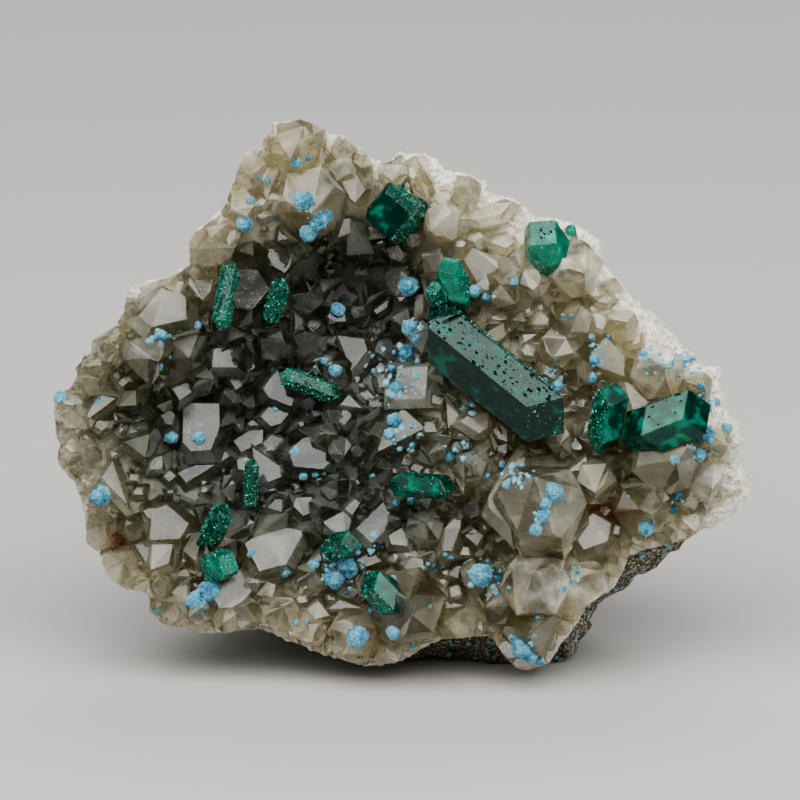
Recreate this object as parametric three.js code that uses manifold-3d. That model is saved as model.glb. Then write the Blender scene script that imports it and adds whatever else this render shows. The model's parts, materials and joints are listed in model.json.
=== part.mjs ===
// Dioptase crystals and blue shattuckite on a druse of smoky quartz, standing on its speckled rock.
// Millimetres, +Z up, the crystal face looks along -Y and leans back. The origin is on the base cut.
import * as THREE from 'three';
import { ConvexGeometry } from 'three/addons/geometries/ConvexGeometry.js';
import { mergeVertices } from 'three/addons/utils/BufferGeometryUtils.js';
import Module from 'manifold-3d';

const wasm = await Module();
wasm.setup();

// Driving dimensions
const leanBack = 15; // degrees the crystal face leans back from upright
const faceRise = 39.3; // height of the face's own origin above the surface it stands on
const faceSetback = -13; // puts the middle of the base cut at the origin
const crustThickness = 6.5; // massive quartz under the floor of the druse
const rootDepth = 3.6; // how deep the crystals are rooted in it
const brokenBand = 3; // width of the broken white edge round the druse
const edgeMargin = 0.5; // how far inside that edge the crystals are broken off
const gap = 0.3; // clearance that each crystal, ball and rock keeps to its neighbour
const quartzPointAngle = 51.8; // from the long axis to the normal of a point's face
const dioptaseTipAngle = 51; // the same for dioptase's three-faced tip
const brokenRoot = 3.8; // what a prism that ends in a break reaches past its own end
const smallCrystal = 3.5; // under this radius a point has three faces
const lightTilt = 18; // degrees that the facets facing the light tip upwards
const facetSlopes = [42, 66]; // degrees by which the faces beside such a facet turn away from it
const rockDepth = 34; // how far the rock reaches behind the face
const insideIcosahedron = 0.7946; // inscribed over circumscribed radius

const rad = THREE.MathUtils.degToRad;

// The face's own frame: x across, y up the face, z out of it, towards the viewer.
const face = new THREE.Group();
face.rotation.x = rad(90 - leanBack);
face.position.set(0, faceSetback, faceRise);
face.updateMatrixWorld(true);

// Colours and finishes
const quartzLook = new THREE.MeshStandardMaterial({ color: 0xa39c8a, roughness: 0.25, metalness: 0 });
const rockLook = new THREE.MeshStandardMaterial({ color: 0x5d5a50, roughness: 0.9, metalness: 0 });
const dioptaseLook = new THREE.MeshStandardMaterial({ color: 0x0a5c44, roughness: 0.15, metalness: 0 });
const shattuckiteLook = new THREE.MeshStandardMaterial({ color: 0x4aa3cc, roughness: 0.8, metalness: 0 });

// The broken edge of the quartz, once round from the top left peak, clockwise.
const quartzOutline = [
  [-17.8, 38.4], [-14, 38.8], [-12, 38], [-10, 37], [-8, 36.6], [-6.6, 35.1], [-5.3, 34.9], [-4.9, 33.7],
  [-3.6, 33], [-2, 32.6], [-0.8, 33.4], [0, 34.1], [3, 33.9], [5.3, 33.2], [5.8, 32], [7, 31.4],
  [10, 31], [11.6, 29.9], [12.8, 28.4], [16, 27.4], [18, 26], [19.2, 24.6], [20.6, 25.1], [24, 24.3],
  [26, 23.2], [27.4, 22], [28.2, 20.9], [28.6, 18.2], [30, 17.2], [31.2, 15.6], [32.6, 13.6], [34, 12.2],
  [35.6, 11.4], [37.4, 9.6], [38.8, 8], [40.4, 6.6], [42.4, 4.4], [44.7, 4], [45.2, 1], [45.8, -1.8],
  [47.6, -4], [48.4, -6.8], [47, -9], [48.2, -10.4], [49.2, -11.6], [49.2, -13.4], [48.4, -15.6],
  [47, -17], [44, -18.6], [42, -19.2], [40.4, -20.4], [38, -20.8], [34.6, -21.6], [32.2, -22.6],
  [31.6, -24.4], [30.5, -26.8], [28, -28.2], [26, -30], [24.3, -33], [22.6, -35], [21, -37.8],
  [18, -38.8], [16, -38.2], [14, -35.6], [12.6, -33.8], [10, -34], [6, -34.4], [3, -35.6], [1.4, -36.8],
  [-1, -37.9], [-5, -38.3], [-8.5, -37.2], [-11, -36.6], [-13, -35.6], [-16, -34.6], [-18, -33.6],
  [-20, -32.9], [-24, -33.4], [-28, -33.6], [-30, -33], [-32, -32.7], [-34, -32], [-35.4, -30.4],
  [-35.2, -28.2], [-36.6, -27.4], [-38, -27.4], [-40, -26.6], [-41.2, -25.4], [-42.2, -22.6],
  [-44.2, -20.6], [-44.2, -17.6], [-45, -14.6], [-46, -12], [-47.6, -10.6], [-48.4, -8.6], [-48, -7],
  [-48.6, -5.4], [-48.9, -1.2], [-48, 0], [-46.4, 1.2], [-45.4, 2.6], [-45.8, 3.6], [-44.8, 5],
  [-44.4, 6.4], [-43, 8.2], [-41, 9.2], [-39.8, 10.4], [-38.8, 12], [-39, 13], [-38.2, 15], [-34, 16.2],
  [-31, 17.4], [-29.6, 18.8], [-29.6, 21.6], [-28.6, 23], [-27, 24], [-26, 25.4], [-24.8, 26.4],
  [-24.3, 28], [-22.6, 32], [-21.8, 34], [-20, 34.3], [-18.4, 37.2],
];
const middle = [0, -2]; // every spoke of the crust and of the rock runs out from here

// The rock behind, which shows past the quartz at the lower right.
const rockOutline = [
  [-16, 34], [-8, 32], [0, 30], [8, 28], [16, 24], [23, 21], [27, 14], [33, 8], [39, 2], [43, -4],
  [45, -10], [44, -16], [40.6, -20.8], [40, -22.2], [37.6, -22.6], [36.8, -24.2], [34, -25.6],
  [31.8, -28], [29, -29.4], [28, -30.8], [27.2, -32.6], [24.9, -35], [24.9, -36.6], [23.4, -37.9],
  [19, -38.2], [13, -38.4], [9, -37.7], [4, -37.4], [-2, -37.8], [-8, -37], [-14, -35], [-20, -32.4],
  [-28, -31], [-33, -28], [-38, -23], [-41, -17], [-44, -9], [-45, -2], [-42, 5], [-36, 11],
  [-29, 15], [-26, 22], [-22, 29],
];

// Facets of quartz crystals that face the light, by their corners, from the top left to the lower right.
const litFacets = [
  [[-17.6, 37.8], [-12.3, 37.7], [-17.5, 34.9]],
  [[-21.7, 33.9], [-19.6, 34.3], [-18.3, 31.6], [-19.1, 29.8]],
  [[-15.8, 29.4], [-10.2, 27.7], [-9.6, 25.9], [-11.9, 24], [-14.4, 25.9]],
  [[-6.4, 24.3], [-5.2, 24.2], [-3.6, 19.9], [-7.4, 19.6]],
  [[7.7, 24.7], [13.3, 26.8], [15.8, 27], [14, 25.2], [10.5, 24.4]],
  [[8.9, 18.9], [10.2, 20.5], [13.5, 18.7], [13.7, 17.7], [10.7, 15.8]],
  [[12.6, 21.4], [15, 22.4], [16.1, 21.4], [14.7, 20.5]],
  [[-26.7, 18.2], [-24.9, 17.2], [-26.8, 15.4]],
  [[-36.5, 11.1], [-32.4, 16.2], [-30.1, 15.8], [-29.8, 10.6], [-34.7, 9.5]],
  [[-37.5, 10], [-34.2, 9.1], [-38.7, 6.3]],
  [[-11.2, 16.3], [-8.8, 16.5], [-11, 14.2]],
  [[-14.9, 8.4], [-13.3, 9], [-11.4, 8.2], [-11.6, 6.5], [-13.5, 5.4], [-14.9, 6.3]],
  [[-8.8, 8.4], [-5.1, 7.9], [-4.6, 6.3], [-6.8, 3.5]],
  [[26.6, 5.6], [28.7, 8.1], [31.3, 5.3], [31.2, 2.6], [27, 4.2]],
  [[-26.3, 6.5], [-23.1, 6.8], [-22.9, 3.9], [-26.4, 3.9]],
  [[-22.4, 4.6], [-19.3, 6.1], [-19.6, 4.2], [-21.7, 3.2]],
  [[-17.1, 3.9], [-14.9, -0.4], [-15.3, -1.6], [-18.4, -0.4], [-19.3, 0.9]],
  [[-0.4, 3.7], [3.9, 4], [3.5, -0.4], [-0.9, -0.7]],
  [[31.3, 1.9], [36.6, -0.4], [32.6, -2.8]],
  [[-44.5, -3.9], [-42.2, 0], [-39.9, -0.5]],
  [[-30.6, -1.1], [-25.5, -1.2], [-25.4, -4.5], [-26.6, -7.7], [-29.4, -7.9], [-30.6, -6.6]],
  [[-19.6, -3], [-18.6, -1.7], [-15.4, -2.3], [-16.8, -4], [-18.2, -4.4]],
  [[-23.5, -6.5], [-21.4, -5.1], [-19.3, -4.9], [-19.4, -6.7], [-22.4, -8]],
  [[-20.8, -7.4], [-16.8, -10.1], [-16.7, -11.5], [-20, -12.8]],
  [[-31.3, -11], [-24.7, -8], [-24, -8.6], [-30.1, -12.3]],
  [[-15.6, -7.9], [-13.7, -6.1], [-9.8, -5.1], [-9.8, -9.4], [-10.9, -10.4], [-14.9, -10]],
  [[-3.1, -7.9], [-2.6, -6], [0.3, -1.8], [3.5, -4.6]],
  [[8.4, -3.7], [9.8, -2.6], [12.4, -2.5], [12.1, -4.6], [11, -5.3]],
  [[23.3, -10.7], [25.9, -8.6], [26.4, -10.3]],
  [[12.3, -14], [17.7, -7.5], [15.4, -18.6], [12.3, -15.6]],
  [[-40.3, -9.3], [-38.3, -15.2], [-41.8, -11.6]],
  [[-34.8, -16.1], [-32.6, -15.4], [-29.6, -18], [-30.8, -20.1], [-35, -20.3]],
  [[-34.7, -20.8], [-31.7, -20.8], [-32.4, -23.6], [-34.8, -24.4]],
  [[-21.7, -20.8], [-20.6, -20], [-15.9, -18.6], [-13.3, -19], [-15.9, -23.6], [-19.6, -24.6]],
  [[-6.1, -18.6], [-1.9, -14.6], [-1.4, -16.8], [-2.1, -18.9], [-3.9, -20.7]],
  [[6, -21.7], [6.3, -18.6], [8.6, -16.1], [8.4, -18.6], [7.2, -21.7]],
  [[18.2, -19.8], [23.6, -20], [22.6, -24.7]],
  [[23.6, -18.6], [27, -16.5], [29.4, -17.9], [28.9, -20.3], [25.6, -21.5]],
  [[-32, -27.7], [-29.8, -25.6], [-29.8, -28.7]],
  [[-26.4, -27.7], [-24.9, -25.6], [-22.4, -24.5], [-20.8, -27.5], [-22.8, -29.6], [-25.2, -29.7]],
  [[-13.3, -23.8], [-11.2, -22.1], [-10.5, -25.9], [-13.3, -27]],
  [[-10, -29.9], [-8.4, -28.7], [-5.3, -29.8]],
  [[6, -28.7], [10.5, -29.8], [10.7, -30.8], [6.5, -30.3]],
  [[20.5, -30.5], [22.2, -30.1], [22.1, -32.2], [20.3, -34]],
];

// Quartz crystals seen on their points: the point's foot, the radius, the way it leans and by how much.
const leaningQuartz = [
  { x: -14.8, y: 33.6, r: 4.2, to: 250, lean: 24, turn: 20 },
  { x: -21, y: 31, r: 3, to: 290, lean: 24, turn: 10 },
  { x: -21.8, y: 25.4, r: 2.9, to: 300, lean: 25, turn: 10 },
  { x: -24.6, y: 20.8, r: 3.8, to: 345, lean: 40, turn: 0 },
  { x: -6.2, y: 28, r: 2.6, to: 265, lean: 40, turn: 15 },
  { x: 5.4, y: 23.4, r: 3.2, to: 215, lean: 30, turn: 25 },
  { x: -12.4, y: 26.2, r: 5.4, to: 280, lean: 20, turn: 12 },
  { x: -21, y: 12.6, r: 4.6, to: 290, lean: 24, turn: 8 },
  { x: -29.4, y: 6.2, r: 3.2, to: 280, lean: 22, turn: 30 },
  { x: -34.6, y: 5.2, r: 4.1, to: 330, lean: 24, turn: 12 },
  { x: -42.6, y: 2.6, r: 3, to: 350, lean: 30, turn: 0 },
  { x: -46.2, y: -1.6, r: 2.2, to: 20, lean: 15, turn: 10 },
  { x: -45.2, y: -8.4, r: 2.2, to: 10, lean: 25, turn: 5 },
  { x: -42.8, y: -12.6, r: 2.3, to: 20, lean: 24, turn: 15 },
  { x: -41.6, y: -18.4, r: 2.7, to: 30, lean: 22, turn: 0 },
  { x: -38.8, y: -23.6, r: 2.9, to: 40, lean: 20, turn: 12 },
  { x: -35, y: -26.2, r: 2.3, to: 60, lean: 20, turn: 0 },
  { x: -27.8, y: -30.2, r: 2.2, to: 80, lean: 18, turn: 25 },
  { x: -16.4, y: -30.2, r: 2.8, to: 95, lean: 20, turn: 2 },
  { x: -6.6, y: -32.6, r: 3.8, to: 110, lean: 18, turn: 0 },
  { x: 1.2, y: -29, r: 5.8, to: 80, lean: 12, turn: 10 },
  { x: 18.4, y: -25.8, r: 5.2, to: 120, lean: 16, turn: 6 },
  { x: 18.2, y: -33, r: 4.4, to: 250, lean: 12, turn: 12 },
  { x: 26.6, y: -25.6, r: 3.8, to: 40, lean: 40, turn: 0 },
  { x: 19.4, y: -13.4, r: 6.6, to: 100, lean: 30, turn: 0 },
  { x: 27, y: -12.8, r: 3.3, to: 270, lean: 16, turn: 4 },
  { x: 34.2, y: -16, r: 4.2, to: 310, lean: 16, turn: 8 },
  { x: 37.4, y: -9.4, r: 5.2, to: 330, lean: 12, turn: 16 },
  { x: 43, y: -12.6, r: 3, to: 330, lean: 22, turn: 0 },
  { x: 36.4, y: 3.6, r: 4.2, to: 20, lean: 14, turn: 5 },
  { x: 31.2, y: 9.8, r: 2.6, to: 40, lean: 16, turn: 8 },
  { x: 23.5, y: 10.6, r: 3.2, to: 200, lean: 12, turn: 20 },
  { x: 21.4, y: 5.8, r: 2.8, to: 230, lean: 22, turn: 0 },
  { x: 25, y: 17.2, r: 4.2, to: 330, lean: 16, turn: 10 },
  { x: -4, y: -10.6, r: 2.7, to: 160, lean: 20, turn: 9 },
  { x: 3.4, y: -18.2, r: 2.8, to: 100, lean: 18, turn: 15 },
  { x: 9.4, y: -9.4, r: 2.6, to: 130, lean: 30, turn: 21 },
  { x: -35.8, y: -6, r: 3, to: 20, lean: 22, turn: 4 },
];

// Dioptase prisms. heading and rise aim the free end, roll turns the prism, lift sets it off the druse, and
// brokenAt is the x at which one ends in a flat break instead of a tip.
const dioptases = [
  {
    name: 'main_prism', x: 13.7, y: 2, length: 23.6, r: 4.6,
    heading: -39, rise: 10, lift: 5.8, roll: 50, brokenAt: 3.9,
  },
  { name: 'right_prism', x: 36.9, y: -3.9, length: 13.6, r: 3.9, heading: 22, rise: -4, lift: 7.4, roll: 50 },
  { name: 'right_upright', x: 28.8, y: -3.2, length: 10.4, r: 2.6, heading: 76, rise: 6, lift: 4.6, roll: 36 },
  { name: 'top_block', x: -0.4, y: 25.6, length: 9.5, r: 4.2, heading: 258, rise: 30, lift: 3.4, roll: 56 },
  { name: 'upper_prism', x: 7.6, y: 15.4, length: 8.4, r: 2.1, heading: 112, rise: 8, lift: 4.6, roll: 35 },
  { name: 'perched_cluster', x: 5.4, y: 13.9, length: 4.6, r: 1.6, heading: 110, rise: 10, lift: 6.4 },
  { name: 'bright_rhomb', x: 20.5, y: 20.5, length: 9.6, r: 3.1, heading: 125, rise: 25, lift: 4.6, roll: 42 },
  { name: 'left_needle', x: -24.3, y: 13.8, length: 9.8, r: 1.35, heading: 260, rise: 8, lift: 6.4 },
  { name: 'left_slip', x: -17.3, y: 13.1, length: 6.8, r: 1.3, heading: 72, rise: 12, lift: 7.6 },
  { name: 'hollow_needle', x: -12.7, y: 1.4, length: 9.4, r: 1.45, heading: 159, rise: 10, lift: 4.8 },
  { name: 'hollow_sprig', x: -20.9, y: -12.4, length: 7.4, r: 1, heading: 86, rise: 18, lift: 5 },
  { name: 'frosted_sprig', x: -26, y: -18.6, length: 7.8, r: 1.6, heading: 60, rise: 10, lift: 5 },
  { name: 'frosted_block', x: -25.2, y: -23.8, length: 6, r: 2.4, heading: 345, rise: 14, lift: 5.4, roll: 20 },
  { name: 'centre_bar', x: 3, y: -12.6, length: 9.6, r: 1.75, heading: -4, rise: 8, lift: 6, roll: 12 },
  { name: 'lower_prism', x: -2, y: -27.7, length: 8.6, r: 2.45, heading: -46, rise: 8, lift: 8 },
  { name: 'blue_coated', x: -8.4, y: -21, length: 6, r: 2, heading: 10, rise: 12, lift: 4.8, roll: 30 },
  { name: 'rim_chip', x: 23.9, y: 22.9, length: 2.2, r: 0.8, heading: 80, rise: 20, lift: 1.8 },
];

// Shattuckite balls, each cluster grown into one piece.
const shattuckites = [
  { name: 'top_rosette', balls: [[-13.4, 27, 1.4]] },
  { name: 'top_pair', balls: [[-12.7, 22.8, 1.1], [-11.4, 24, 1.1]] },
  { name: 'hollow_ball', balls: [[1.2, 15.3, 1.4]] },
  { name: 'spine', balls: [[0.8, 5.6, 1.4]] },
  { name: 'rim_left', balls: [[-42, -14, 1.4]] },
  { name: 'big_cluster', balls: [[-27.9, -28.2, 1.6], [-26.5, -27.6, 1.1]] },
  { name: 'sheet_left', balls: [[-9.3, -24.7, 1.5], [-7.1, -25.2, 1.3]] },
  { name: 'bottom', balls: [[-5.9, -33.6, 1.5]] },
  { name: 'centre', balls: [[11.3, -25.1, 1.6]] },
  { name: 'point', balls: [[21.1, -13.4, 1.4]] },
  { name: 'foot_patch', balls: [[17.1, -35.3, 1.5]] },
];

// A repeatable source of numbers from 0 to 1.
let seed = 20117;
function chance() {
  seed = (Math.imul(seed, 1664525) + 1013904223) >>> 0;
  return seed / 4294967296;
}
const between = (low, high) => low + (high - low) * chance();

const hill = (x, y, cx, cy, wide, high) => Math.exp(-(((x - cx) / wide) ** 2) - ((y - cy) / high) ** 2);

// How far the floor of the druse stands out of the face: a hollow at the left, a bulge at the right.
function druseFloor(x, y) {
  const hollow = 9 * hill(x, y, -24, -4, 17, 14) + 8 * hill(x, y, -5, 14, 10, 11);
  const bulge = 4.5 * hill(x, y, 18, -9, 20, 18) + 1.5 * hill(x, y, 16, 20, 14, 8);
  return bulge - hollow;
}
const crustBack = (x, y) => 0.75 * druseFloor(x, y) - crustThickness;

// Low lumps on a broken surface.
function lump(x, y, z) {
  return Math.sin(0.31 * x + 1.3) * Math.sin(0.27 * y + 0.4) + 0.6 * Math.sin(0.53 * x - 0.41 * y + 0.37 * z);
}

function toSolid(geometry) {
  const bare = geometry.clone();
  bare.deleteAttribute('normal');
  bare.deleteAttribute('uv');
  const merged = mergeVertices(bare, 1e-4);
  const mesh = new wasm.Mesh({
    numProp: 3,
    vertProperties: merged.attributes.position.array,
    triVerts: new Uint32Array(merged.index.array),
  });
  return new wasm.Manifold(mesh);
}

// The largest connected body of a solid. Splinters that a cut leaves loose are dropped.
function largestBody(solid) {
  const { vertProperties, triVerts } = solid.getMesh();
  const parent = Array.from({ length: vertProperties.length / 3 }, (_, i) => i);
  const rootOf = (i) => {
    while (parent[i] !== i) i = parent[i];
    return i;
  };
  for (let t = 0; t < triVerts.length; t += 3) {
    const root = rootOf(triVerts[t]);
    parent[rootOf(triVerts[t + 1])] = root;
    parent[rootOf(triVerts[t + 2])] = root;
    parent[triVerts[t]] = root;
  }
  const bodies = new Map();
  for (let t = 0; t < triVerts.length; t += 3) {
    const root = rootOf(triVerts[t]);
    bodies.set(root, [...(bodies.get(root) ?? []), ...triVerts.subarray(t, t + 3)]);
  }
  const [largest] = [...bodies.values()].sort((a, b) => b.length - a.length);
  const geometry = new THREE.BufferGeometry();
  geometry.setAttribute('position', new THREE.BufferAttribute(vertProperties, 3));
  geometry.setIndex(largest);
  const flat = geometry.toNonIndexed();
  flat.computeVertexNormals();
  return flat;
}

function toMesh(name, solid, material) {
  const mesh = new THREE.Mesh(largestBody(solid), material);
  mesh.name = name;
  return mesh;
}

// The convex body inside a set of planes, from the corners where three of them meet.
function bodyInside(planes) {
  const corners = [];
  const count = planes.length;
  for (let i = 0; i < count; i++) {
    for (let j = i + 1; j < count; j++) {
      for (let k = j + 1; k < count; k++) {
        const corner = meeting(planes[i], planes[j], planes[k]);
        const inside = corner && planes.every((p) => p.normal.dot(corner) <= p.reach + 1e-6);
        if (inside && !corners.some((c) => c.distanceTo(corner) < 1e-3)) corners.push(corner);
      }
    }
  }
  return new ConvexGeometry(corners);
}

function meeting(a, b, c) {
  const across = new THREE.Vector3().crossVectors(b.normal, c.normal);
  const share = a.normal.dot(across);
  if (Math.abs(share) < 1e-6) return null;
  const corner = across.multiplyScalar(a.reach);
  corner.addScaledVector(new THREE.Vector3().crossVectors(c.normal, a.normal), b.reach);
  corner.addScaledVector(new THREE.Vector3().crossVectors(a.normal, b.normal), c.reach);
  return corner.divideScalar(share);
}

// A normal that stands at an angle to the long axis, turned round it.
function facing(angle, turn) {
  const out = Math.sin(rad(angle));
  return new THREE.Vector3(out * Math.cos(rad(turn)), out * Math.sin(rad(turn)), Math.cos(rad(angle)));
}

// A quartz prism along +z from z = 0. Its point has six faces, or on a small crystal the three large ones.
function quartzPrism(radius, length) {
  const planes = [{ normal: new THREE.Vector3(0, 0, -1), reach: 0 }];
  for (let k = 0; k < 6; k++) {
    const side = radius * Math.cos(rad(30)) * between(0.9, 1.04);
    planes.push({ normal: facing(90, 60 * k), reach: side });
    if (radius < smallCrystal && k % 2) continue;
    const above = k % 2 ? between(0.25, 0.6) : between(0, 0.25);
    const point = facing(quartzPointAngle, 60 * k);
    planes.push({ normal: point, reach: point.z * (length + above * radius) });
  }
  return bodyInside(planes);
}

// A dioptase prism centred on z = 0, six-sided, with a three-faced tip at each end.
function dioptasePrism(radius, length, grow, behind) {
  const planes = [];
  for (let k = 0; k < 6; k++) {
    planes.push({ normal: facing(90, 60 * k), reach: radius * Math.cos(rad(30)) + grow });
  }
  for (const turn of [-30, 90, 210]) {
    const tip = facing(dioptaseTipAngle, turn);
    planes.push({ normal: tip, reach: tip.z * (length / 2) + grow });
    planes.push({ normal: tip.clone().negate(), reach: tip.z * (length / 2 + behind) + grow });
  }
  return bodyInside(planes);
}

// Stands a body's z axis along axis, with its x axis as near as can be to towards, turned by roll.
function standing(axis, towards, roll, place) {
  const z = axis.clone().normalize();
  const x = towards.clone().addScaledVector(z, -towards.dot(z)).normalize();
  x.applyAxisAngle(z, rad(roll));
  const y = new THREE.Vector3().crossVectors(z, x);
  return new THREE.Matrix4().makeBasis(x, y, z).setPosition(place);
}

const toLight = new THREE.Vector3(0, Math.sin(rad(lightTilt)), Math.cos(rad(lightTilt)));

// A crystal whose lit facet has these corners. The faces beside the facet slope away from it, and the
// walls below them run down into the crust.
function facetCrystal(corners) {
  const [cx, cy] = [0, 1].map((i) => corners.reduce((sum, c) => sum + c[i], 0) / corners.length);
  const edges = corners.map((corner, i) => [corner, corners[(i + 1) % corners.length]]);
  const signedArea = edges.reduce((sum, [a, b]) => sum + (a[0] * b[1] - b[0] * a[1]) / 2, 0);
  const size = Math.sqrt(Math.abs(signedArea));
  const jitter = new THREE.Vector3(between(-0.07, 0.07), between(-0.09, 0.09), 0);
  const normal = toLight.clone().add(jitter).normalize();
  const centre = new THREE.Vector3(cx, cy, druseFloor(cx, cy) + 0.55 * size + 1);
  const onFacet = ([x, y]) => {
    const fall = (normal.x * (x - cx) + normal.y * (y - cy)) / normal.z;
    return new THREE.Vector3(x, y, centre.z - fall);
  };
  const planes = [
    { normal, reach: normal.dot(centre) },
    { normal: new THREE.Vector3(0, 0, -1), reach: rootDepth - druseFloor(cx, cy) },
  ];
  edges.forEach(([a, b]) => {
    const start = onFacet(a);
    const away = onFacet(b).sub(start).cross(normal).normalize().multiplyScalar(Math.sign(signedArea));
    const slope = rad(between(...facetSlopes));
    const beside = normal.clone().multiplyScalar(Math.cos(slope)).addScaledVector(away, Math.sin(slope));
    planes.push({ normal: beside, reach: beside.dot(start) });
    const wall = new THREE.Vector3(away.x, away.y, between(0.05, 0.2)).normalize();
    planes.push({ normal: wall, reach: wall.dot(start) + between(0.18, 0.32) * size + 0.3 });
  });
  return bodyInside(planes);
}

// A crystal that stands on the druse and leans towards `to`.
function leaningCrystal({ x, y, r, to, lean, turn }) {
  const axis = facing(lean, to);
  const root = Math.max(1, (rootDepth - r * Math.sin(rad(lean))) / Math.cos(rad(lean)));
  const shown = 1.15 * r + 0.8;
  const length = root + shown + 0.55 * r;
  const middleOfPoint = new THREE.Vector3(x, y, druseFloor(x, y) + shown);
  const foot = middleOfPoint.addScaledVector(axis, -(root + shown));
  return quartzPrism(r, length).applyMatrix4(standing(axis, new THREE.Vector3(0, 1, 0.3), turn, foot));
}

// A closed body of rings round the middle, from its front centre out over the edge to its back centre.
function ringBody(frontCentre, rings, backCentre) {
  const all = [[frontCentre], ...rings, [backCentre]];
  const points = all.flat();
  const triangles = [];
  let first = 0;
  for (let ring = 0; ring + 1 < all.length; ring++) {
    const [a, b] = [all[ring].length, all[ring + 1].length];
    const inner = (i) => first + (i % a);
    const outer = (j) => first + a + (j % b);
    // Steps round both rings at once, on whichever is behind.
    for (let i = 0, j = 0; i < (a > 1 ? a : 0) || j < (b > 1 ? b : 0); ) {
      if (b === 1 || (a > 1 && (i + 1) / a <= (j + 1) / b)) {
        triangles.push(inner(i), inner(i + 1), outer(j));
        i++;
      } else {
        triangles.push(inner(i), outer(j + 1), outer(j));
        j++;
      }
    }
    first += a;
  }
  const geometry = new THREE.BufferGeometry();
  geometry.setAttribute('position', new THREE.Float32BufferAttribute(points.flat(), 3));
  geometry.setIndex(triangles);
  return geometry;
}

// A point on the spoke to an outline point, pulled in by a distance and then scaled.
function onSpoke([ox, oy], inset, share = 1) {
  const dx = ox - middle[0];
  const dy = oy - middle[1];
  const keep = share * (1 - inset / Math.hypot(dx, dy));
  return [middle[0] + dx * keep, middle[1] + dy * keep];
}

const everyNth = (spokes, n) => spokes.filter((_, i) => i % n === 0);

// A ring of points on every nth spoke of the quartz outline.
function quartzRing(step, inset, share, height) {
  return everyNth(quartzOutline, step).map((spoke) => {
    const [x, y] = onSpoke(spoke, inset, share);
    return [x, y, height(x, y)];
  });
}

function crustPlate() {
  const rough = (amount) => between(-amount, amount);
  const rings = [
    quartzRing(10, brokenBand, 0.35, druseFloor),
    quartzRing(6, brokenBand, 0.7, druseFloor),
    quartzRing(2, brokenBand, 1, (x, y) => druseFloor(x, y) + rough(0.5)),
    quartzRing(1, 0, 1, (x, y) => druseFloor(x, y) - 3 + rough(0.7)),
    quartzRing(2, 1.6, 1, (x, y) => druseFloor(x, y) - 5 + rough(0.4)),
    quartzRing(6, 5, 1, crustBack),
    quartzRing(8, 5, 0.6, crustBack),
  ];
  const [mx, my] = middle;
  return ringBody([mx, my, druseFloor(mx, my)], rings, [mx, my, crustBack(mx, my)]);
}

// All that lies behind the crust, which the crystals' roots are trimmed by.
function behindCrust() {
  const justInside = (x, y) => crustBack(x, y) + 0.3;
  const rings = [
    quartzRing(8, 5, 0.6, justInside),
    quartzRing(6, 5, 1, justInside),
    quartzRing(6, 5, 1, () => -60),
  ];
  const [mx, my] = middle;
  return ringBody([mx, my, justInside(mx, my)], rings, [mx, my, -60]);
}

function rockBody() {
  // Towards the base the rings stay wide, so that the rock stands on a broad foot.
  const ring = (step, inset, share, height, footInset = inset) =>
    everyNth(rockOutline, step).map((spoke) => {
      const low = THREE.MathUtils.smoothstep(-spoke[1], 24, 34);
      const kept = THREE.MathUtils.lerp(share, Math.max(share, 0.97), low);
      const [x, y] = onSpoke(spoke, THREE.MathUtils.lerp(inset, footInset, low), kept);
      return [x, y, height + 1.1 * lump(x, y, height) + between(-0.5, 0.5)];
    });
  const intoCrust = (share) =>
    everyNth(rockOutline, 2).map((spoke) => {
      const [x, y] = onSpoke(spoke, 0, share);
      return [x, y, crustBack(x, y) + 1.2];
    });
  const rings = [
    intoCrust(0.3),
    intoCrust(0.65),
    intoCrust(0.93),
    ring(1, 0, 1, -10),
    ring(1, 0.5, 1, -14.5),
    ring(1, 1.5, 0.95, -19, 0.4),
    ring(2, 2, 0.84, -25, 0.4),
    ring(2, 2, 0.68, -30, 0.4),
    ring(2, 2, 0.4, -33, 14),
  ];
  const [mx, my] = middle;
  return ringBody([mx, my, crustBack(mx, my) + 1.2], rings, [mx, my, -rockDepth]);
}

// All that lies inside the broken edge, where the crystals end with it.
function insideEdge() {
  const edge = quartzOutline.map((spoke) => new THREE.Vector2(...onSpoke(spoke, edgeMargin)));
  const column = new THREE.ExtrudeGeometry(new THREE.Shape(edge), { depth: 100, bevelEnabled: false });
  return column.translate(0, 0, -50);
}

// The quartz: the massive crust and every crystal grown from it.
function grownQuartz(plate) {
  const crystals = [...litFacets.map(facetCrystal), ...leaningQuartz.map(leaningCrystal)];
  const [first, ...others] = crystals.map(toSolid);
  const druse = others.reduce((whole, crystal) => whole.add(crystal), first);
  return druse.intersect(toSolid(insideEdge())).subtract(toSolid(behindCrust())).add(toSolid(plate));
}

function dioptaseSolid({ x, y, length, r, heading, rise, lift, roll = 0, brokenAt }, grow) {
  const axis = facing(90 - rise, heading);
  const place = new THREE.Vector3(x, y, druseFloor(x, y) + lift);
  const behind = brokenAt === undefined ? 0 : brokenRoot;
  const prism = dioptasePrism(r, length, grow, behind).applyMatrix4(standing(axis, toLight, roll, place));
  if (brokenAt === undefined) return toSolid(prism);
  const pastBreak = new THREE.BoxGeometry(200, 200, 200).translate(brokenAt - grow + 100, 0, 0);
  return toSolid(prism).intersect(toSolid(pastBreak));
}

// How far out the quartz stands over a point of the face.
function quartzTop(surface, x, y) {
  const ray = new THREE.Raycaster(new THREE.Vector3(x, y, 100), new THREE.Vector3(0, 0, -1));
  return ray.intersectObject(surface)[0].point.z;
}

function shattuckiteSolid({ balls, height }) {
  return joinedBalls(balls, height, (r) => new THREE.IcosahedronGeometry(r, 1));
}

// A plain icosahedron that holds the ball and its clearance.
function shattuckiteSocket({ balls, height }) {
  return joinedBalls(balls, height, (r) => new THREE.IcosahedronGeometry((r + gap) / insideIcosahedron, 0));
}

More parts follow.
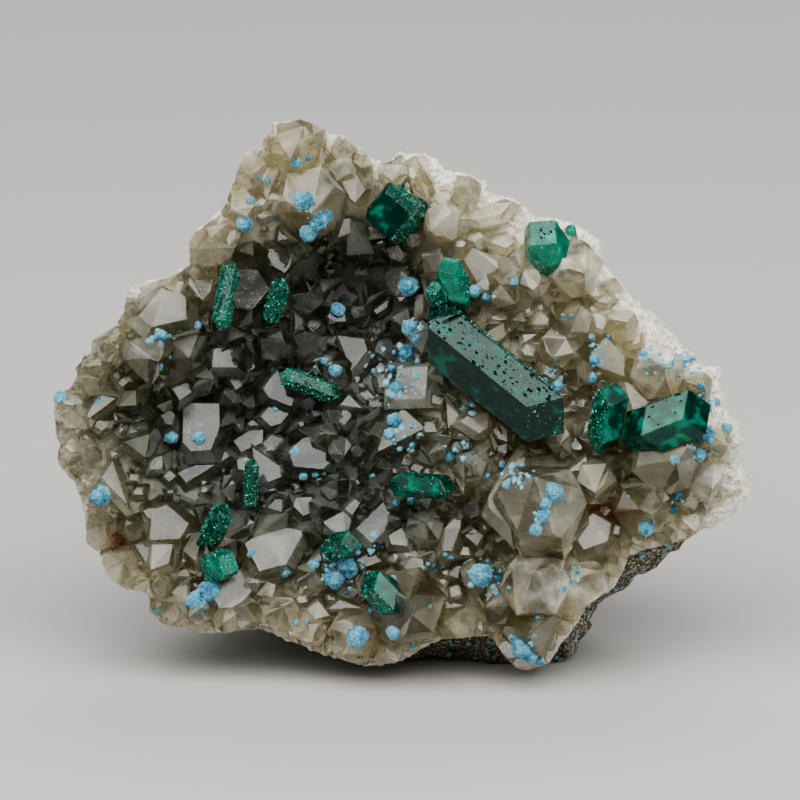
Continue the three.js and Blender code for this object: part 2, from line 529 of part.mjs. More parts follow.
function joinedBalls(balls, height, ballOf) {
  return balls
    .map(([x, y, r]) => toSolid(ballOf(r).translate(x, y, height)))
    .reduce((cluster, ball) => cluster.add(ball));
}

// The rock fits the back of the quartz, and is cut off flat where the specimen stands.
function rockMatrix(plate) {
  const quartzBack = plate.clone().scale(1.01, 1.01, 1).translate(0, 0, -gap);
  const fitted = toSolid(rockBody()).subtract(toSolid(quartzBack));
  const upright = largestBody(fitted).applyMatrix4(face.matrixWorld);
  const aboveBase = new THREE.BoxGeometry(300, 300, 200).translate(0, 0, 100);
  return toSolid(upright).intersect(toSolid(aboveBase));
}

// Each dioptase crystal and ball cluster keeps clear of those before it, and sits in a socket in the quartz.
const specimen = new THREE.Group();
specimen.add(face);
const plate = crustPlate();
const quartz = grownQuartz(plate);
const quartzSurface = toMesh('quartz_surface', quartz, quartzLook);
const sockets = [];
const clearOfOthers = (solid) => sockets.reduce((left, socket) => left.subtract(socket), solid);

dioptases.forEach((crystal) => {
  face.add(toMesh(`dioptase_${crystal.name}`, clearOfOthers(dioptaseSolid(crystal, 0)), dioptaseLook));
  sockets.push(dioptaseSolid(crystal, gap));
});
shattuckites.forEach((cluster) => {
  const [x, y] = cluster.balls[0];
  const placed = { ...cluster, height: quartzTop(quartzSurface, x, y) };
  face.add(toMesh(`shattuckite_${cluster.name}`, clearOfOthers(shattuckiteSolid(placed)), shattuckiteLook));
  sockets.push(shattuckiteSocket(placed));
});
face.add(toMesh('quartz_druse', clearOfOthers(quartz), quartzLook));
specimen.add(toMesh('rock_matrix', rockMatrix(plate), rockLook));

export default specimen;
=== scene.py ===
"""Looks of the dioptase specimen: quartz druse, rock, green crystals and blue balls, on a pale floor.

Lengths are in millimetres in the crystal face's own frame (x across, y up the face, z out of it)
and become metres in the part's frame when a mesh is made.
"""

import json
import math
import random

import bmesh
import bpy
import numpy as np
from mathutils import Matrix, Vector, noise
from mathutils.bvhtree import BVHTree

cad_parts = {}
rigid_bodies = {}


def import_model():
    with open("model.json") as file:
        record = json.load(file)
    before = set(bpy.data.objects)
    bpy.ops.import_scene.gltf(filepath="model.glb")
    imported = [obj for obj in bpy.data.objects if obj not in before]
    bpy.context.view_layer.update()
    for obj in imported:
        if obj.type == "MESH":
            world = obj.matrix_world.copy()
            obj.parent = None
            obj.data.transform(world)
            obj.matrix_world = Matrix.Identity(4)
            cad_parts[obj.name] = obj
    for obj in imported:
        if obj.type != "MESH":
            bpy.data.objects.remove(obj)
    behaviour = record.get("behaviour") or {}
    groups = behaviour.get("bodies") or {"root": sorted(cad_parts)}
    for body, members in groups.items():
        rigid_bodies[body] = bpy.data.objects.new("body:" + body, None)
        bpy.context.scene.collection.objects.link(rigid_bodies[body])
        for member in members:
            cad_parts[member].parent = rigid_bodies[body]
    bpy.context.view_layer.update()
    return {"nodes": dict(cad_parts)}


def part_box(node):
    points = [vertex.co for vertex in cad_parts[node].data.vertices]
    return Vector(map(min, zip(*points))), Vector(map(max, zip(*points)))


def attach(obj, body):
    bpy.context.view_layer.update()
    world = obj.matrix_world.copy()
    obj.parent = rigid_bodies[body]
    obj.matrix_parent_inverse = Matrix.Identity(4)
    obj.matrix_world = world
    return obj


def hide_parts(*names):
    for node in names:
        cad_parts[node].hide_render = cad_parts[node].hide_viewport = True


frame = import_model()
scene = bpy.context.scene

# Driving dimensions, as in the part
LEAN_BACK = math.radians(15)
FACE_RISE = 39.3
FACE_SETBACK = -13
CRUST_THICKNESS = 6.5
ROOT_DEPTH = 3.6
BROKEN_BAND = 3
WHITE_EDGE = (-24, 100)  # degrees round the middle between which the broken edge is white
QUARTZ_POINT_ANGLE = math.radians(51.8)
LIGHT_TILT = math.radians(18)
FACET_SLOPES = (math.radians(42), math.radians(66))
MIDDLE = (0, -2)
MM = 0.001

FACE = Matrix.Translation((0, FACE_SETBACK, FACE_RISE)) @ Matrix.Rotation(math.pi / 2 - LEAN_BACK, 4, "X")
TO_PART = Matrix.Scale(MM, 4) @ FACE

QUARTZ_OUTLINE = [
    (-17.8, 38.4), (-14, 38.8), (-12, 38), (-10, 37), (-8, 36.6), (-6.6, 35.1), (-5.3, 34.9), (-4.9, 33.7),
    (-3.6, 33), (-2, 32.6), (-0.8, 33.4), (0, 34.1), (3, 33.9), (5.3, 33.2), (5.8, 32), (7, 31.4),
    (10, 31), (11.6, 29.9), (12.8, 28.4), (16, 27.4), (18, 26), (19.2, 24.6), (20.6, 25.1), (24, 24.3),
    (26, 23.2), (27.4, 22), (28.2, 20.9), (28.6, 18.2), (30, 17.2), (31.2, 15.6), (32.6, 13.6), (34, 12.2),
    (35.6, 11.4), (37.4, 9.6), (38.8, 8), (40.4, 6.6), (42.4, 4.4), (44.7, 4), (45.2, 1), (45.8, -1.8),
    (47.6, -4), (48.4, -6.8), (47, -9), (48.2, -10.4), (49.2, -11.6), (49.2, -13.4), (48.4, -15.6),
    (47, -17), (44, -18.6), (42, -19.2), (40.4, -20.4), (38, -20.8), (34.6, -21.6), (32.2, -22.6),
    (31.6, -24.4), (30.5, -26.8), (28, -28.2), (26, -30), (24.3, -33), (22.6, -35), (21, -37.8),
    (18, -38.8), (16, -38.2), (14, -35.6), (12.6, -33.8), (10, -34), (6, -34.4), (3, -35.6), (1.4, -36.8),
    (-1, -37.9), (-5, -38.3), (-8.5, -37.2), (-11, -36.6), (-13, -35.6), (-16, -34.6), (-18, -33.6),
    (-20, -32.9), (-24, -33.4), (-28, -33.6), (-30, -33), (-32, -32.7), (-34, -32), (-35.4, -30.4),
    (-35.2, -28.2), (-36.6, -27.4), (-38, -27.4), (-40, -26.6), (-41.2, -25.4), (-42.2, -22.6),
    (-44.2, -20.6), (-44.2, -17.6), (-45, -14.6), (-46, -12), (-47.6, -10.6), (-48.4, -8.6), (-48, -7),
    (-48.6, -5.4), (-48.9, -1.2), (-48, 0), (-46.4, 1.2), (-45.4, 2.6), (-45.8, 3.6), (-44.8, 5),
    (-44.4, 6.4), (-43, 8.2), (-41, 9.2), (-39.8, 10.4), (-38.8, 12), (-39, 13), (-38.2, 15), (-34, 16.2),
    (-31, 17.4), (-29.6, 18.8), (-29.6, 21.6), (-28.6, 23), (-27, 24), (-26, 25.4), (-24.8, 26.4),
    (-24.3, 28), (-22.6, 32), (-21.8, 34), (-20, 34.3), (-18.4, 37.2),
]

# Facets of quartz crystals that face the light, by their corners
LIT_FACETS = [
    [(-17.6, 37.8), (-12.3, 37.7), (-17.5, 34.9)],
    [(-21.7, 33.9), (-19.6, 34.3), (-18.3, 31.6), (-19.1, 29.8)],
    [(-15.8, 29.4), (-10.2, 27.7), (-9.6, 25.9), (-11.9, 24), (-14.4, 25.9)],
    [(-6.4, 24.3), (-5.2, 24.2), (-3.6, 19.9), (-7.4, 19.6)],
    [(7.7, 24.7), (13.3, 26.8), (15.8, 27), (14, 25.2), (10.5, 24.4)],
    [(-18.9, 20.8), (-16.5, 21.1), (-17.6, 18.9)],
    [(8.9, 18.9), (10.2, 20.5), (13.5, 18.7), (13.7, 17.7), (10.7, 15.8)],
    [(12.6, 21.4), (15, 22.4), (16.1, 21.4), (14.7, 20.5)],
    [(-26.7, 18.2), (-24.9, 17.2), (-26.8, 15.4)],
    [(-36.5, 11.1), (-32.4, 16.2), (-30.1, 15.8), (-29.8, 10.6), (-34.7, 9.5)],
    [(-37.5, 10), (-34.2, 9.1), (-38.7, 6.3)],
    [(-11.2, 16.3), (-8.8, 16.5), (-11, 14.2)],
    [(-14.9, 8.4), (-13.3, 9), (-11.4, 8.2), (-11.6, 6.5), (-13.5, 5.4), (-14.9, 6.3)],
    [(-8.8, 8.4), (-5.1, 7.9), (-4.6, 6.3), (-6.8, 3.5)],
    [(12.4, 10.5), (14.4, 11.9), (15.1, 10.5)],
    [(12.6, 8.9), (15.2, 10.2), (15.8, 8.9)],
    [(26.6, 5.6), (28.7, 8.1), (31.3, 5.3), (31.2, 2.6), (27, 4.2)],
    [(-26.3, 6.5), (-23.1, 6.8), (-22.9, 3.9), (-26.4, 3.9)],
    [(-22.4, 4.6), (-19.3, 6.1), (-19.6, 4.2), (-21.7, 3.2)],
    [(-17.1, 3.9), (-14.9, -0.4), (-15.3, -1.6), (-18.4, -0.4), (-19.3, 0.9)],
    [(-0.4, 3.7), (3.9, 4), (3.5, -0.4), (-0.9, -0.7)],
    [(31.3, 1.9), (36.6, -0.4), (32.6, -2.8)],
    [(-44.5, -3.9), (-42.2, 0), (-39.9, -0.5)],
    [(-30.6, -1.1), (-25.5, -1.2), (-25.4, -4.5), (-26.6, -7.7), (-29.4, -7.9), (-30.6, -6.6)],
    [(-19.6, -3), (-18.6, -1.7), (-15.4, -2.3), (-16.8, -4), (-18.2, -4.4)],
    [(-23.5, -6.5), (-21.4, -5.1), (-19.3, -4.9), (-19.4, -6.7), (-22.4, -8)],
    [(-20.8, -7.4), (-16.8, -10.1), (-16.7, -11.5), (-20, -12.8)],
    [(-31.3, -11), (-24.7, -8), (-24, -8.6), (-30.1, -12.3)],
    [(-15.6, -7.9), (-13.7, -6.1), (-9.8, -5.1), (-9.8, -9.4), (-10.9, -10.4), (-14.9, -10)],
    [(-3.1, -7.9), (-2.6, -6), (0.3, -1.8), (3.5, -4.6)],
    [(8.4, -3.7), (9.8, -2.6), (12.4, -2.5), (12.1, -4.6), (11, -5.3)],
    [(23.3, -10.7), (25.9, -8.6), (26.4, -10.3)],
    [(12.3, -14), (17.7, -7.5), (15.4, -18.6), (12.3, -15.6)],
    [(-40.3, -9.3), (-38.3, -15.2), (-41.8, -11.6)],
    [(-34.8, -16.1), (-32.6, -15.4), (-29.6, -18), (-30.8, -20.1), (-35, -20.3)],
    [(-34.7, -20.8), (-31.7, -20.8), (-32.4, -23.6), (-34.8, -24.4)],
    [(-21.7, -20.8), (-20.6, -20), (-15.9, -18.6), (-13.3, -19), (-15.9, -23.6), (-19.6, -24.6)],
    [(-6.1, -18.6), (-1.9, -14.6), (-1.4, -16.8), (-2.1, -18.9), (-3.9, -20.7)],
    [(6, -21.7), (6.3, -18.6), (8.6, -16.1), (8.4, -18.6), (7.2, -21.7)],
    [(18.2, -19.8), (23.6, -20), (22.6, -24.7)],
    [(23.6, -18.6), (27, -16.5), (29.4, -17.9), (28.9, -20.3), (25.6, -21.5)],
    [(-32, -27.7), (-29.8, -25.6), (-29.8, -28.7)],
    [(-26.4, -27.7), (-24.9, -25.6), (-22.4, -24.5), (-20.8, -27.5), (-22.8, -29.6), (-25.2, -29.7)],
    [(-13.3, -23.8), (-11.2, -22.1), (-10.5, -25.9), (-13.3, -27)],
    [(-10, -29.9), (-8.4, -28.7), (-5.3, -29.8)],
    [(6, -28.7), (10.5, -29.8), (10.7, -30.8), (6.5, -30.3)],
    [(20.5, -30.5), (22.2, -30.1), (22.1, -32.2), (20.3, -34)],
    [(-7.9, 24.7), (-6.9, 24.8), (-7, 22.8), (-8.7, 22.1)],
    [(-12.1, 10.9), (-9.8, 11.9), (-10.2, 9.5)],
    [(1.8, 10.2), (3.3, 11.7), (3.7, 10.5), (2.8, 9.3)],
    [(-24.2, 2.5), (-21.9, 3.2), (-21.5, 1.9), (-23.1, 0.7)],
    [(-8.4, -1.4), (-7.2, 0.1), (-5.4, -1.8)],
    [(13, -4.9), (13.7, -3.9), (14.9, -4.9), (14.9, -6.5), (13.7, -6.1)],
    [(-18.6, -15.8), (-17.5, -14.6), (-16.5, -14.7), (-16.6, -16.4)],
    [(-8.4, -16.5), (-6.3, -14.6), (-5.6, -15.1), (-7.2, -17.7)],
    [(9.1, -19.6), (10.3, -18.6), (11.6, -19.6), (10.7, -21)],
    [(0.5, -22.2), (1.8, -21.5), (2.8, -22.4), (2, -23.6)],
    [(-3.7, 11.9), (-1.6, 13.4), (-1.8, 12.4), (-3.3, 11.4)],
    [(-10.9, 8.2), (-10.2, 8.7), (-8.9, 8.2), (-9.3, 7.4), (-10.5, 7.5)],
    [(-14.9, 11.9), (-13.7, 10.5), (-13.5, 9.2), (-14.7, 9.1)],
    [(-38.7, 5.4), (-34.3, 7.4), (-38.3, 4.4)],
    [(-37.1, -21), (-34.8, -20.8), (-35, -24.3)],
    [(-29.8, -16.3), (-28.5, -16.1), (-29.2, -17.5)],
    [(3.7, 16.3), (4.7, 16.5), (5.6, 15.2), (4.2, 14.2)],
    [(6.1, 0.7), (8.4, 0.5), (7.9, -0.7)],
    [(6.5, -1.1), (8.2, -2.8), (6.7, -4.6)],
    [(27, 11.6), (30.1, 10.2), (29.4, 8.8), (27.4, 9.5)],
    [(19.6, 7), (23.1, 7.7), (23.8, 6), (21.4, 4.6)],
]

# Crystals seen on their points: x, y, radius, the way they lean, by how much, and their turn
LEANING_QUARTZ = [
    (-14.8, 33.6, 4.2, 250, 24, 20), (-21, 31, 3, 290, 24, 10), (-21.8, 25.4, 2.9, 300, 25, 10),
    (-24.6, 20.8, 3.8, 345, 40, 0), (-6.2, 28, 2.6, 265, 40, 15), (5.4, 23.4, 3.2, 215, 30, 25),
    (-12.4, 26.2, 5.4, 280, 20, 12), (-21, 12.6, 4.6, 290, 24, 8), (-29.4, 6.2, 3.2, 280, 22, 30),
    (-34.6, 5.2, 4.1, 330, 24, 12), (-42.6, 2.6, 3, 350, 30, 0), (-46.2, -1.6, 2.2, 20, 15, 10),
    (-45.2, -8.4, 2.2, 10, 25, 5), (-42.8, -12.6, 2.3, 20, 24, 15), (-41.6, -18.4, 2.7, 30, 22, 0),
    (-38.8, -23.6, 2.9, 40, 20, 12), (-35, -26.2, 2.3, 60, 20, 0), (-27.8, -30.2, 2.2, 80, 18, 25),
    (-16.4, -30.2, 2.8, 95, 20, 2), (-6.6, -32.6, 3.8, 110, 18, 0), (1.2, -29, 5.8, 80, 12, 10),
    (18.4, -25.8, 5.2, 120, 16, 6), (18.2, -33, 4.4, 250, 12, 12), (26.6, -25.6, 3.8, 40, 40, 0),
    (19.4, -13.4, 6.6, 100, 30, 0), (27, -12.8, 3.3, 270, 16, 4), (34.2, -16, 4.2, 310, 16, 8),
    (37.4, -9.4, 5.2, 330, 12, 16), (43, -12.6, 3, 330, 22, 0), (36.4, 3.6, 4.2, 20, 14, 5),
    (31.2, 9.8, 2.6, 40, 16, 8), (23.5, 10.6, 3.2, 200, 12, 20), (21.4, 5.8, 2.8, 230, 22, 0),
    (25, 17.2, 4.2, 330, 16, 10), (-4, -10.6, 2.7, 160, 20, 9), (3.4, -18.2, 2.8, 100, 18, 15),
    (9.4, -9.4, 2.6, 130, 30, 21), (-35.8, -6, 3, 20, 22, 4), (-1, 30.4, 2.2, 270, 20, 0),
    (9, 27.2, 2.4, 260, 20, 10), (-27.8, 14, 2.7, 300, 30, 0), (-36.6, -18.4, 2.2, 20, 25, 10),
    (-31.6, -29.6, 2.2, 80, 22, 25), (-21.4, -30, 2.4, 90, 20, 18), (-12.2, -25, 2.3, 60, 18, 22),
    (8.4, -31, 2.8, 90, 30, 15), (42, 1, 2.4, 10, 20, 18), (18.6, 15.2, 2.4, 250, 25, 12),
    (10.6, -15.4, 1.9, 60, 22, 3), (4.4, -8, 1.9, 200, 26, 13), (45, -7, 2.3, 350, 22, 10),
    (-16.6, 18, 2.6, 300, 30, 5), (-27, 2, 2.3, 10, 25, 20), (-13, 2.6, 2.2, 200, 20, 0),
    (-2, 6, 2.0, 240, 30, 14), (-9, -12.6, 2.4, 80, 24, 9),
]

# Blue balls: x, y, radius
BLUE_BALLS = [
    (-14.3, 32.3, 0.8), (-12.8, 33, 0.4), (-19.8, 30.3, 0.5), (-18.4, 30, 0.6), (-20.9, 27.1, 0.6),
    (-20, 26.6, 0.35), (-21.7, 24, 1.1), (-17.4, 24.7, 0.5), (-17.7, 23.3, 0.3), (-10.4, 25, 0.9),
    (-33.5, 8.5, 0.9), (-35, 7.6, 0.7), (-30.8, 8.3, 0.55), (-28.2, 9.8, 0.6), (-33.4, 3.9, 0.6),
    (-32.2, 5.3, 0.4), (-42.3, -0.7, 0.5), (-47.5, -0.5, 0.9), (-32.2, -5.9, 0.9), (-28.3, -6, 0.9),
    (-28.4, -4, 0.6), (-30.2, -10.6, 0.5), (-40.1, -14.5, 0.3), (-34.2, -29.5, 0.6), (-21, -22.2, 0.6),
    (-16, -25, 0.8), (-19.1, -13.7, 0.6), (-8.8, 12, 1), (10.4, 14.6, 0.9), (12.2, 13.7, 0.7),
    (15.9, 15.7, 0.6), (1.5, 9.3, 1.2), (2.3, 8, 0.8), (-0.9, 6, 0.4), (-1.1, 3.7, 0.5), (2.8, 5.1, 0.5),
    (-0.5, 1, 0.9), (4.3, 0.6, 0.7), (-10.6, 5, 0.6), (-9.1, 3.4, 0.9), (-11.9, 3.8, 0.4),
    (-4.1, 2.4, 0.4), (-17.9, 3.6, 0.5), (-16.7, 4.4, 0.4), (-10.5, 1.2, 0.5), (-0.8, -3.5, 1),
    (-1.5, -5.5, 0.8), (1.6, -4.3, 0.4), (1.7, -7, 0.5), (6.9, -8.5, 0.9), (9.5, -8.3, 0.6),
    (-5.2, -9.4, 0.3), (-3.9, -11.4, 0.4), (-13.6, -11.3, 0.6), (-11.9, -11.2, 0.5), (-10.7, -11.1, 0.3),
    (-14.6, -7.8, 0.8), (-17.6, -2, 0.4), (-13, -2.8, 0.35), (-0.5, -15, 0.6), (1.5, -14.5, 0.6),
    (14.7, -12.4, 0.7), (15.3, -10.7, 0.6), (14.2, -9.7, 0.5), (17, -9.8, 0.5), (12.1, -11.2, 0.4),
    (20, -15, 0.8), (19.7, -16.6, 0.9), (18.8, -18.5, 0.9), (22.9, -14.7, 0.3), (-9.5, -22.5, 1),
    (-6, -21, 0.8), (-12, -23.8, 0.8), (-6.9, -27.1, 0.35), (-7.6, -27.8, 0.3), (-4, -30, 0.6),
    (-0.8, -33, 1), (-14.5, -31.8, 0.5), (-13, -31.6, 0.4), (-1, -25.6, 0.5), (4.2, -29.4, 0.4),
    (1.8, -35, 0.4), (13.5, -25.5, 0.6), (12.3, -23.2, 0.5), (6.3, -22.3, 0.5), (7.1, -22.7, 0.5),
    (11.8, -21.2, 0.8), (13.4, -27.6, 0.4), (15.1, -26.8, 0.4), (15.8, -34, 0.8), (18.2, -36.4, 0.9),
    (19, -37, 0.7), (22.8, -26.9, 0.5), (23.8, -26, 0.35), (19.1, -30.9, 0.4), (24.7, -24.7, 0.3),
    (22, 1.2, 0.8), (21, 3.5, 0.4), (26.8, 2.4, 0.8), (26.8, 4.8, 0.8), (28.6, 8.5, 0.6), (22.7, 11, 0.35),
    (23.9, 10.9, 0.35), (23.4, 8.7, 0.35), (34, 5.8, 0.6), (37.5, 5, 0.6), (40.5, 5, 0.5), (41, 3, 0.7),
    (42.5, 1.2, 0.5), (44.5, -1, 0.6), (38, -9, 0.7), (41.5, -8.3, 0.9), (43, -5.5, 1), (45.7, -4.8, 0.8),
    (38.6, -14, 0.8), (38.2, -16, 0.6), (34.3, -18.4, 1.1), (31.6, -14.2, 0.3),
]

# Patches of fine blue dots: x, y, half width and height of the patch, and how many
BLUE_PATCHES = [
    (-2.2, 4.6, 2.2, 3.6, 34), (0.6, 1.4, 3.2, 2.8, 40), (0.2, -5.4, 2.8, 2.6, 34), (39.4, 4.2, 3.8, 2, 90),
    (35.4, 5.4, 2.4, 1.8, 44), (42.6, -1.4, 1.8, 3, 24), (27.4, 6.4, 1.4, 3.4, 24), (21.6, 2.2, 1.8, 2.4, 18),
    (16.2, -11.2, 2.6, 1.8, 40), (19.8, -16.4, 1.4, 2.2, 20), (12.4, -25.6, 2.2, 2.2, 44), (-8.6, -23.4, 3.2, 2.6, 60),
    (-4.2, -21.4, 2, 1.6, 10), (17.6, -35.4, 1.8, 1.8, 16), (-12.6, 24.6, 2.2, 2.6, 12), (-33.2, 7.4, 2.4, 1.6, 12),
    (8.6, -8.2, 2.8, 1.4, 30), (9.6, -2, 2, 1.6, 14), (41.6, -7.4, 2.2, 2.4, 30), (4.4, -23.5, 2, 2, 12), (-27.4, -28.2, 2, 1.4, 10), (11.4, 14.4, 2.6, 1.6, 10), (-10.8, 3.8, 1.8, 1.8, 8),
    (38.6, -15.4, 1.6, 2, 8), (-29.6, -5.2, 2.2, 1.6, 6), (1.8, 9.4, 1.6, 1.8, 12), (24, -25, 2, 1.6, 6),
]

# Green crystals that a fine druse of the same mineral coats: how thickly, and on which side of them
FROSTED = {
    "left_needle": (0.9, None), "left_slip": (0.8, None), "hollow_needle": (0.6, None),
    "hollow_sprig": (1.0, None), "frosted_sprig": (1.0, None), "frosted_block": (0.5, None),
    "centre_bar": (0.12, None), "lower_prism": (0.9, (-1, 0.5, 0)), "perched_cluster": (1.0, None),
    "right_upright": (0.9, (-1, 0, 0.2)), "top_block": (0.9, (1, 0.3, 0.2)), "blue_coated": (0.4, None),
    "upper_prism": (0.6, (1, 0.4, 0)), "main_prism": (0.1, (0.4, 0.8, 0.6)), "bright_rhomb": (0.12, (0.4, -1, 0.3)),
}


# Growth pits in the green crystals: how many fall on the whole crystal, their least and most size, and their side
PITTED = {
    "main_prism": (430, 0.12, 0.38, (0.1, 0.45, 0.9)),
    "right_prism": (170, 0.1, 0.26, (0, 0.4, 0.9)),
    "bright_rhomb": (100, 0.1, 0.28, (0, 0.35, 0.9)),
}

# Rust-brown stains: x, y, radius
RUST_SPOTS = [(25, -14.9, 1.6), (27.4, -15.2, 1.8), (29.4, -16.6, 1.5), (-39.5, -20.5, 1.6)]

# Zones with few small crystals: x, y, half width, half height
QUIET = [(-16.5, 14, 7, 7), (-2, 15.5, 8, 7)]

# Rounds of smaller crystals: how many, least and most radius, spacing, and the share that shows a lit facet
FILLING = [(70, 1.8, 2.8, 0.62, 0.4), (160, 1.1, 1.8, 0.56, 0.45), (300, 0.6, 1.1, 0.55, 0.5)]


def hill(x, y, cx, cy, wide, high):
    return math.exp(-(((x - cx) / wide) ** 2) - ((y - cy) / high) ** 2)


def hollow(x, y):
    return 9 * hill(x, y, -24, -4, 17, 14) + 8 * hill(x, y, -5, 14, 10, 11)


def druse_floor(x, y):
    bulge = 4.5 * hill(x, y, 18, -9, 20, 18) + 1.5 * hill(x, y, 16, 20, 14, 8)
    return bulge - hollow(x, y)


def crust_back(x, y):
    return 0.75 * druse_floor(x, y) - CRUST_THICKNESS


def smokiness(x, y):
    """How dark the quartz is: 1 in the hollow, a little at the lower right, 0 at the edge."""
    left = 1.1 * hill(x, y, -21, -5, 22, 18)
    upper = 1.0 * hill(x, y, -5, 14, 11, 12)
    lower = 0.75 * hill(x, y, -8, -14, 15, 9)
    brown = 0.45 * hill(x, y, -18, 15, 8, 8)
    right = 0.24 * hill(x, y, 19, -18, 13, 9)
    return min(1.0, left + upper + lower + brown + right)


def outline_reach(angle):
    """How far the outline lies from the middle, in a direction."""
    dx, dy = math.cos(angle), math.sin(angle)
    best = 0.0
    for i, (ax, ay) in enumerate(QUARTZ_OUTLINE):
        bx, by = QUARTZ_OUTLINE[(i + 1) % len(QUARTZ_OUTLINE)]
        ax, ay, bx, by = ax - MIDDLE[0], ay - MIDDLE[1], bx - MIDDLE[0], by - MIDDLE[1]
        ex, ey = bx - ax, by - ay
        share = dx * ey - dy * ex
        if abs(share) < 1e-9:
            continue
        along = (ax * ey - ay * ex) / share
        across = (ax * dy - ay * dx) / share
        if along > 0 and -1e-6 <= across <= 1 + 1e-6:
            best = max(best, along)
    return best


REACH_STEPS = 720
REACHES = [outline_reach(2 * math.pi * i / REACH_STEPS) for i in range(REACH_STEPS)]


def from_edge(x, y):
    """How far a point lies inside the broken edge, along its spoke."""
    dx, dy = x - MIDDLE[0], y - MIDDLE[1]
    step = int(math.atan2(dy, dx) / (2 * math.pi) * REACH_STEPS) % REACH_STEPS
    return REACHES[step] - math.hypot(dx, dy)


def paleness(x, y):
    """How milky and cream the quartz is: most along the edge and at the top."""
    edge = max(0.0, 1 - from_edge(x, y) / 11) * (0.4 + 0.6 * whiteness(x, y))
    upper = hill(x, y, -17, 32, 9, 9) + hill(x, y, 13, 25, 16, 9)
    right = 0.4 * hill(x, y, 33, 6, 12, 10) + 0.2 * hill(x, y, 25, -28, 8, 8)
    return min(1.0, edge + upper + right)


def milkiness(x, y):
    """How little of what lies behind shows through the quartz."""
    return min(1.0, paleness(x, y) + 0.35 * hill(x, y, 18, -18, 15, 17))


def whiteness(x, y):
    """How white and sugary the broken edge is: 1 along the top and the right, 0 elsewhere."""
    angle = math.degrees(math.atan2(y - MIDDLE[1], x - MIDDLE[0]))
    low, high = WHITE_EDGE
    uneven = 6 * noise.noise(Vector((x, y, 0)) / 4)
    upper_left = 0.8 * hill(x, y, -34.5, 16.5, 4, 3) + 0.8 * hill(x, y, -26.6, 25.4, 3, 4)
    return max(upper_left, min(1.0, (min(angle - low, high - angle) + uneven) / 8))


def rustiness(x, y, height):
    """Rust-brown stains in the gaps at two places. Height is above the druse's floor."""
    near = max(1.4 - math.hypot(x - cx, y - cy) / r for cx, cy, r in RUST_SPOTS)
    return max(0.0, min(0.95, near)) * (height < 3.4)


def chips(point, size):
    """Height of a broken, chipped surface: every cell has a level of its own."""
    distances, cells = noise.voronoi(Vector(point) / size)
    cell = cells[0]
    level = noise.noise(cell * 7.31) + 0.5 * noise.noise(cell * 3.17 + Vector((9, 2, 5)))
    return level + 0.35 * (distances[1] - distances[0])


# Materials


def new_material(name, **sockets):
    material = bpy.data.materials.new(name)
    material.use_nodes = True
    tree = material.node_tree
    bsdf = tree.nodes["Principled BSDF"]
    for socket, value in sockets.items():
        bsdf.inputs[socket.replace("_", " ")].default_value = value
    return material, tree, bsdf


def node(tree, kind, **values):
    made = tree.nodes.new(kind)
    for key, value in values.items():
        if key in made.inputs:
            made.inputs[key].default_value = value
        else:
            setattr(made, key, value)
    return made


def textured(tree, kind, scale, detail=3.0):
    """A procedural texture in the part's own coordinates. The scale is in features to a metre."""
    place = node(tree, "ShaderNodeTexCoord")
    texture = node(tree, kind, Scale=scale)
    if "Detail" in texture.inputs:
        texture.inputs["Detail"].default_value = detail
    tree.links.new(place.outputs["Object"], texture.inputs["Vector"])
    return texture


def ramp(tree, source, stops):
    made = node(tree, "ShaderNodeValToRGB")
    elements = made.color_ramp.elements
    while len(elements) < len(stops):
        elements.new(0.5)
    for element, (place, colour) in zip(elements, stops):
        element.position = place
        element.color = (*colour, 1)
    tree.links.new(source, made.inputs["Fac"])
    return made.outputs["Color"]


def mix(tree, share, a, b, blend="MIX"):
    made = node(tree, "ShaderNodeMix", data_type="RGBA", blend_type=blend)
    for socket, value in ((made.inputs[0], share), (made.inputs[6], a), (made.inputs[7], b)):
        if isinstance(value, bpy.types.NodeSocket):
            tree.links.new(value, socket)
        else:
            socket.default_value = (*value, 1) if isinstance(value, tuple) else value
    return made.outputs[2]


def attribute(tree, name):
    return node(tree, "ShaderNodeAttribute", attribute_name=name).outputs["Fac"]


def bump(tree, bsdf, height, strength, distance):
    made = node(tree, "ShaderNodeBump", Strength=strength, Distance=distance)
    tree.links.new(height, made.inputs["Height"])
    tree.links.new(made.outputs["Normal"], bsdf.inputs["Normal"])


def absorb(material, tree, colour, density):
    volume = node(tree, "ShaderNodeVolumeAbsorption", Color=(*colour, 1), Density=density)
    tree.links.new(volume.outputs[0], tree.nodes["Material Output"].inputs["Volume"])


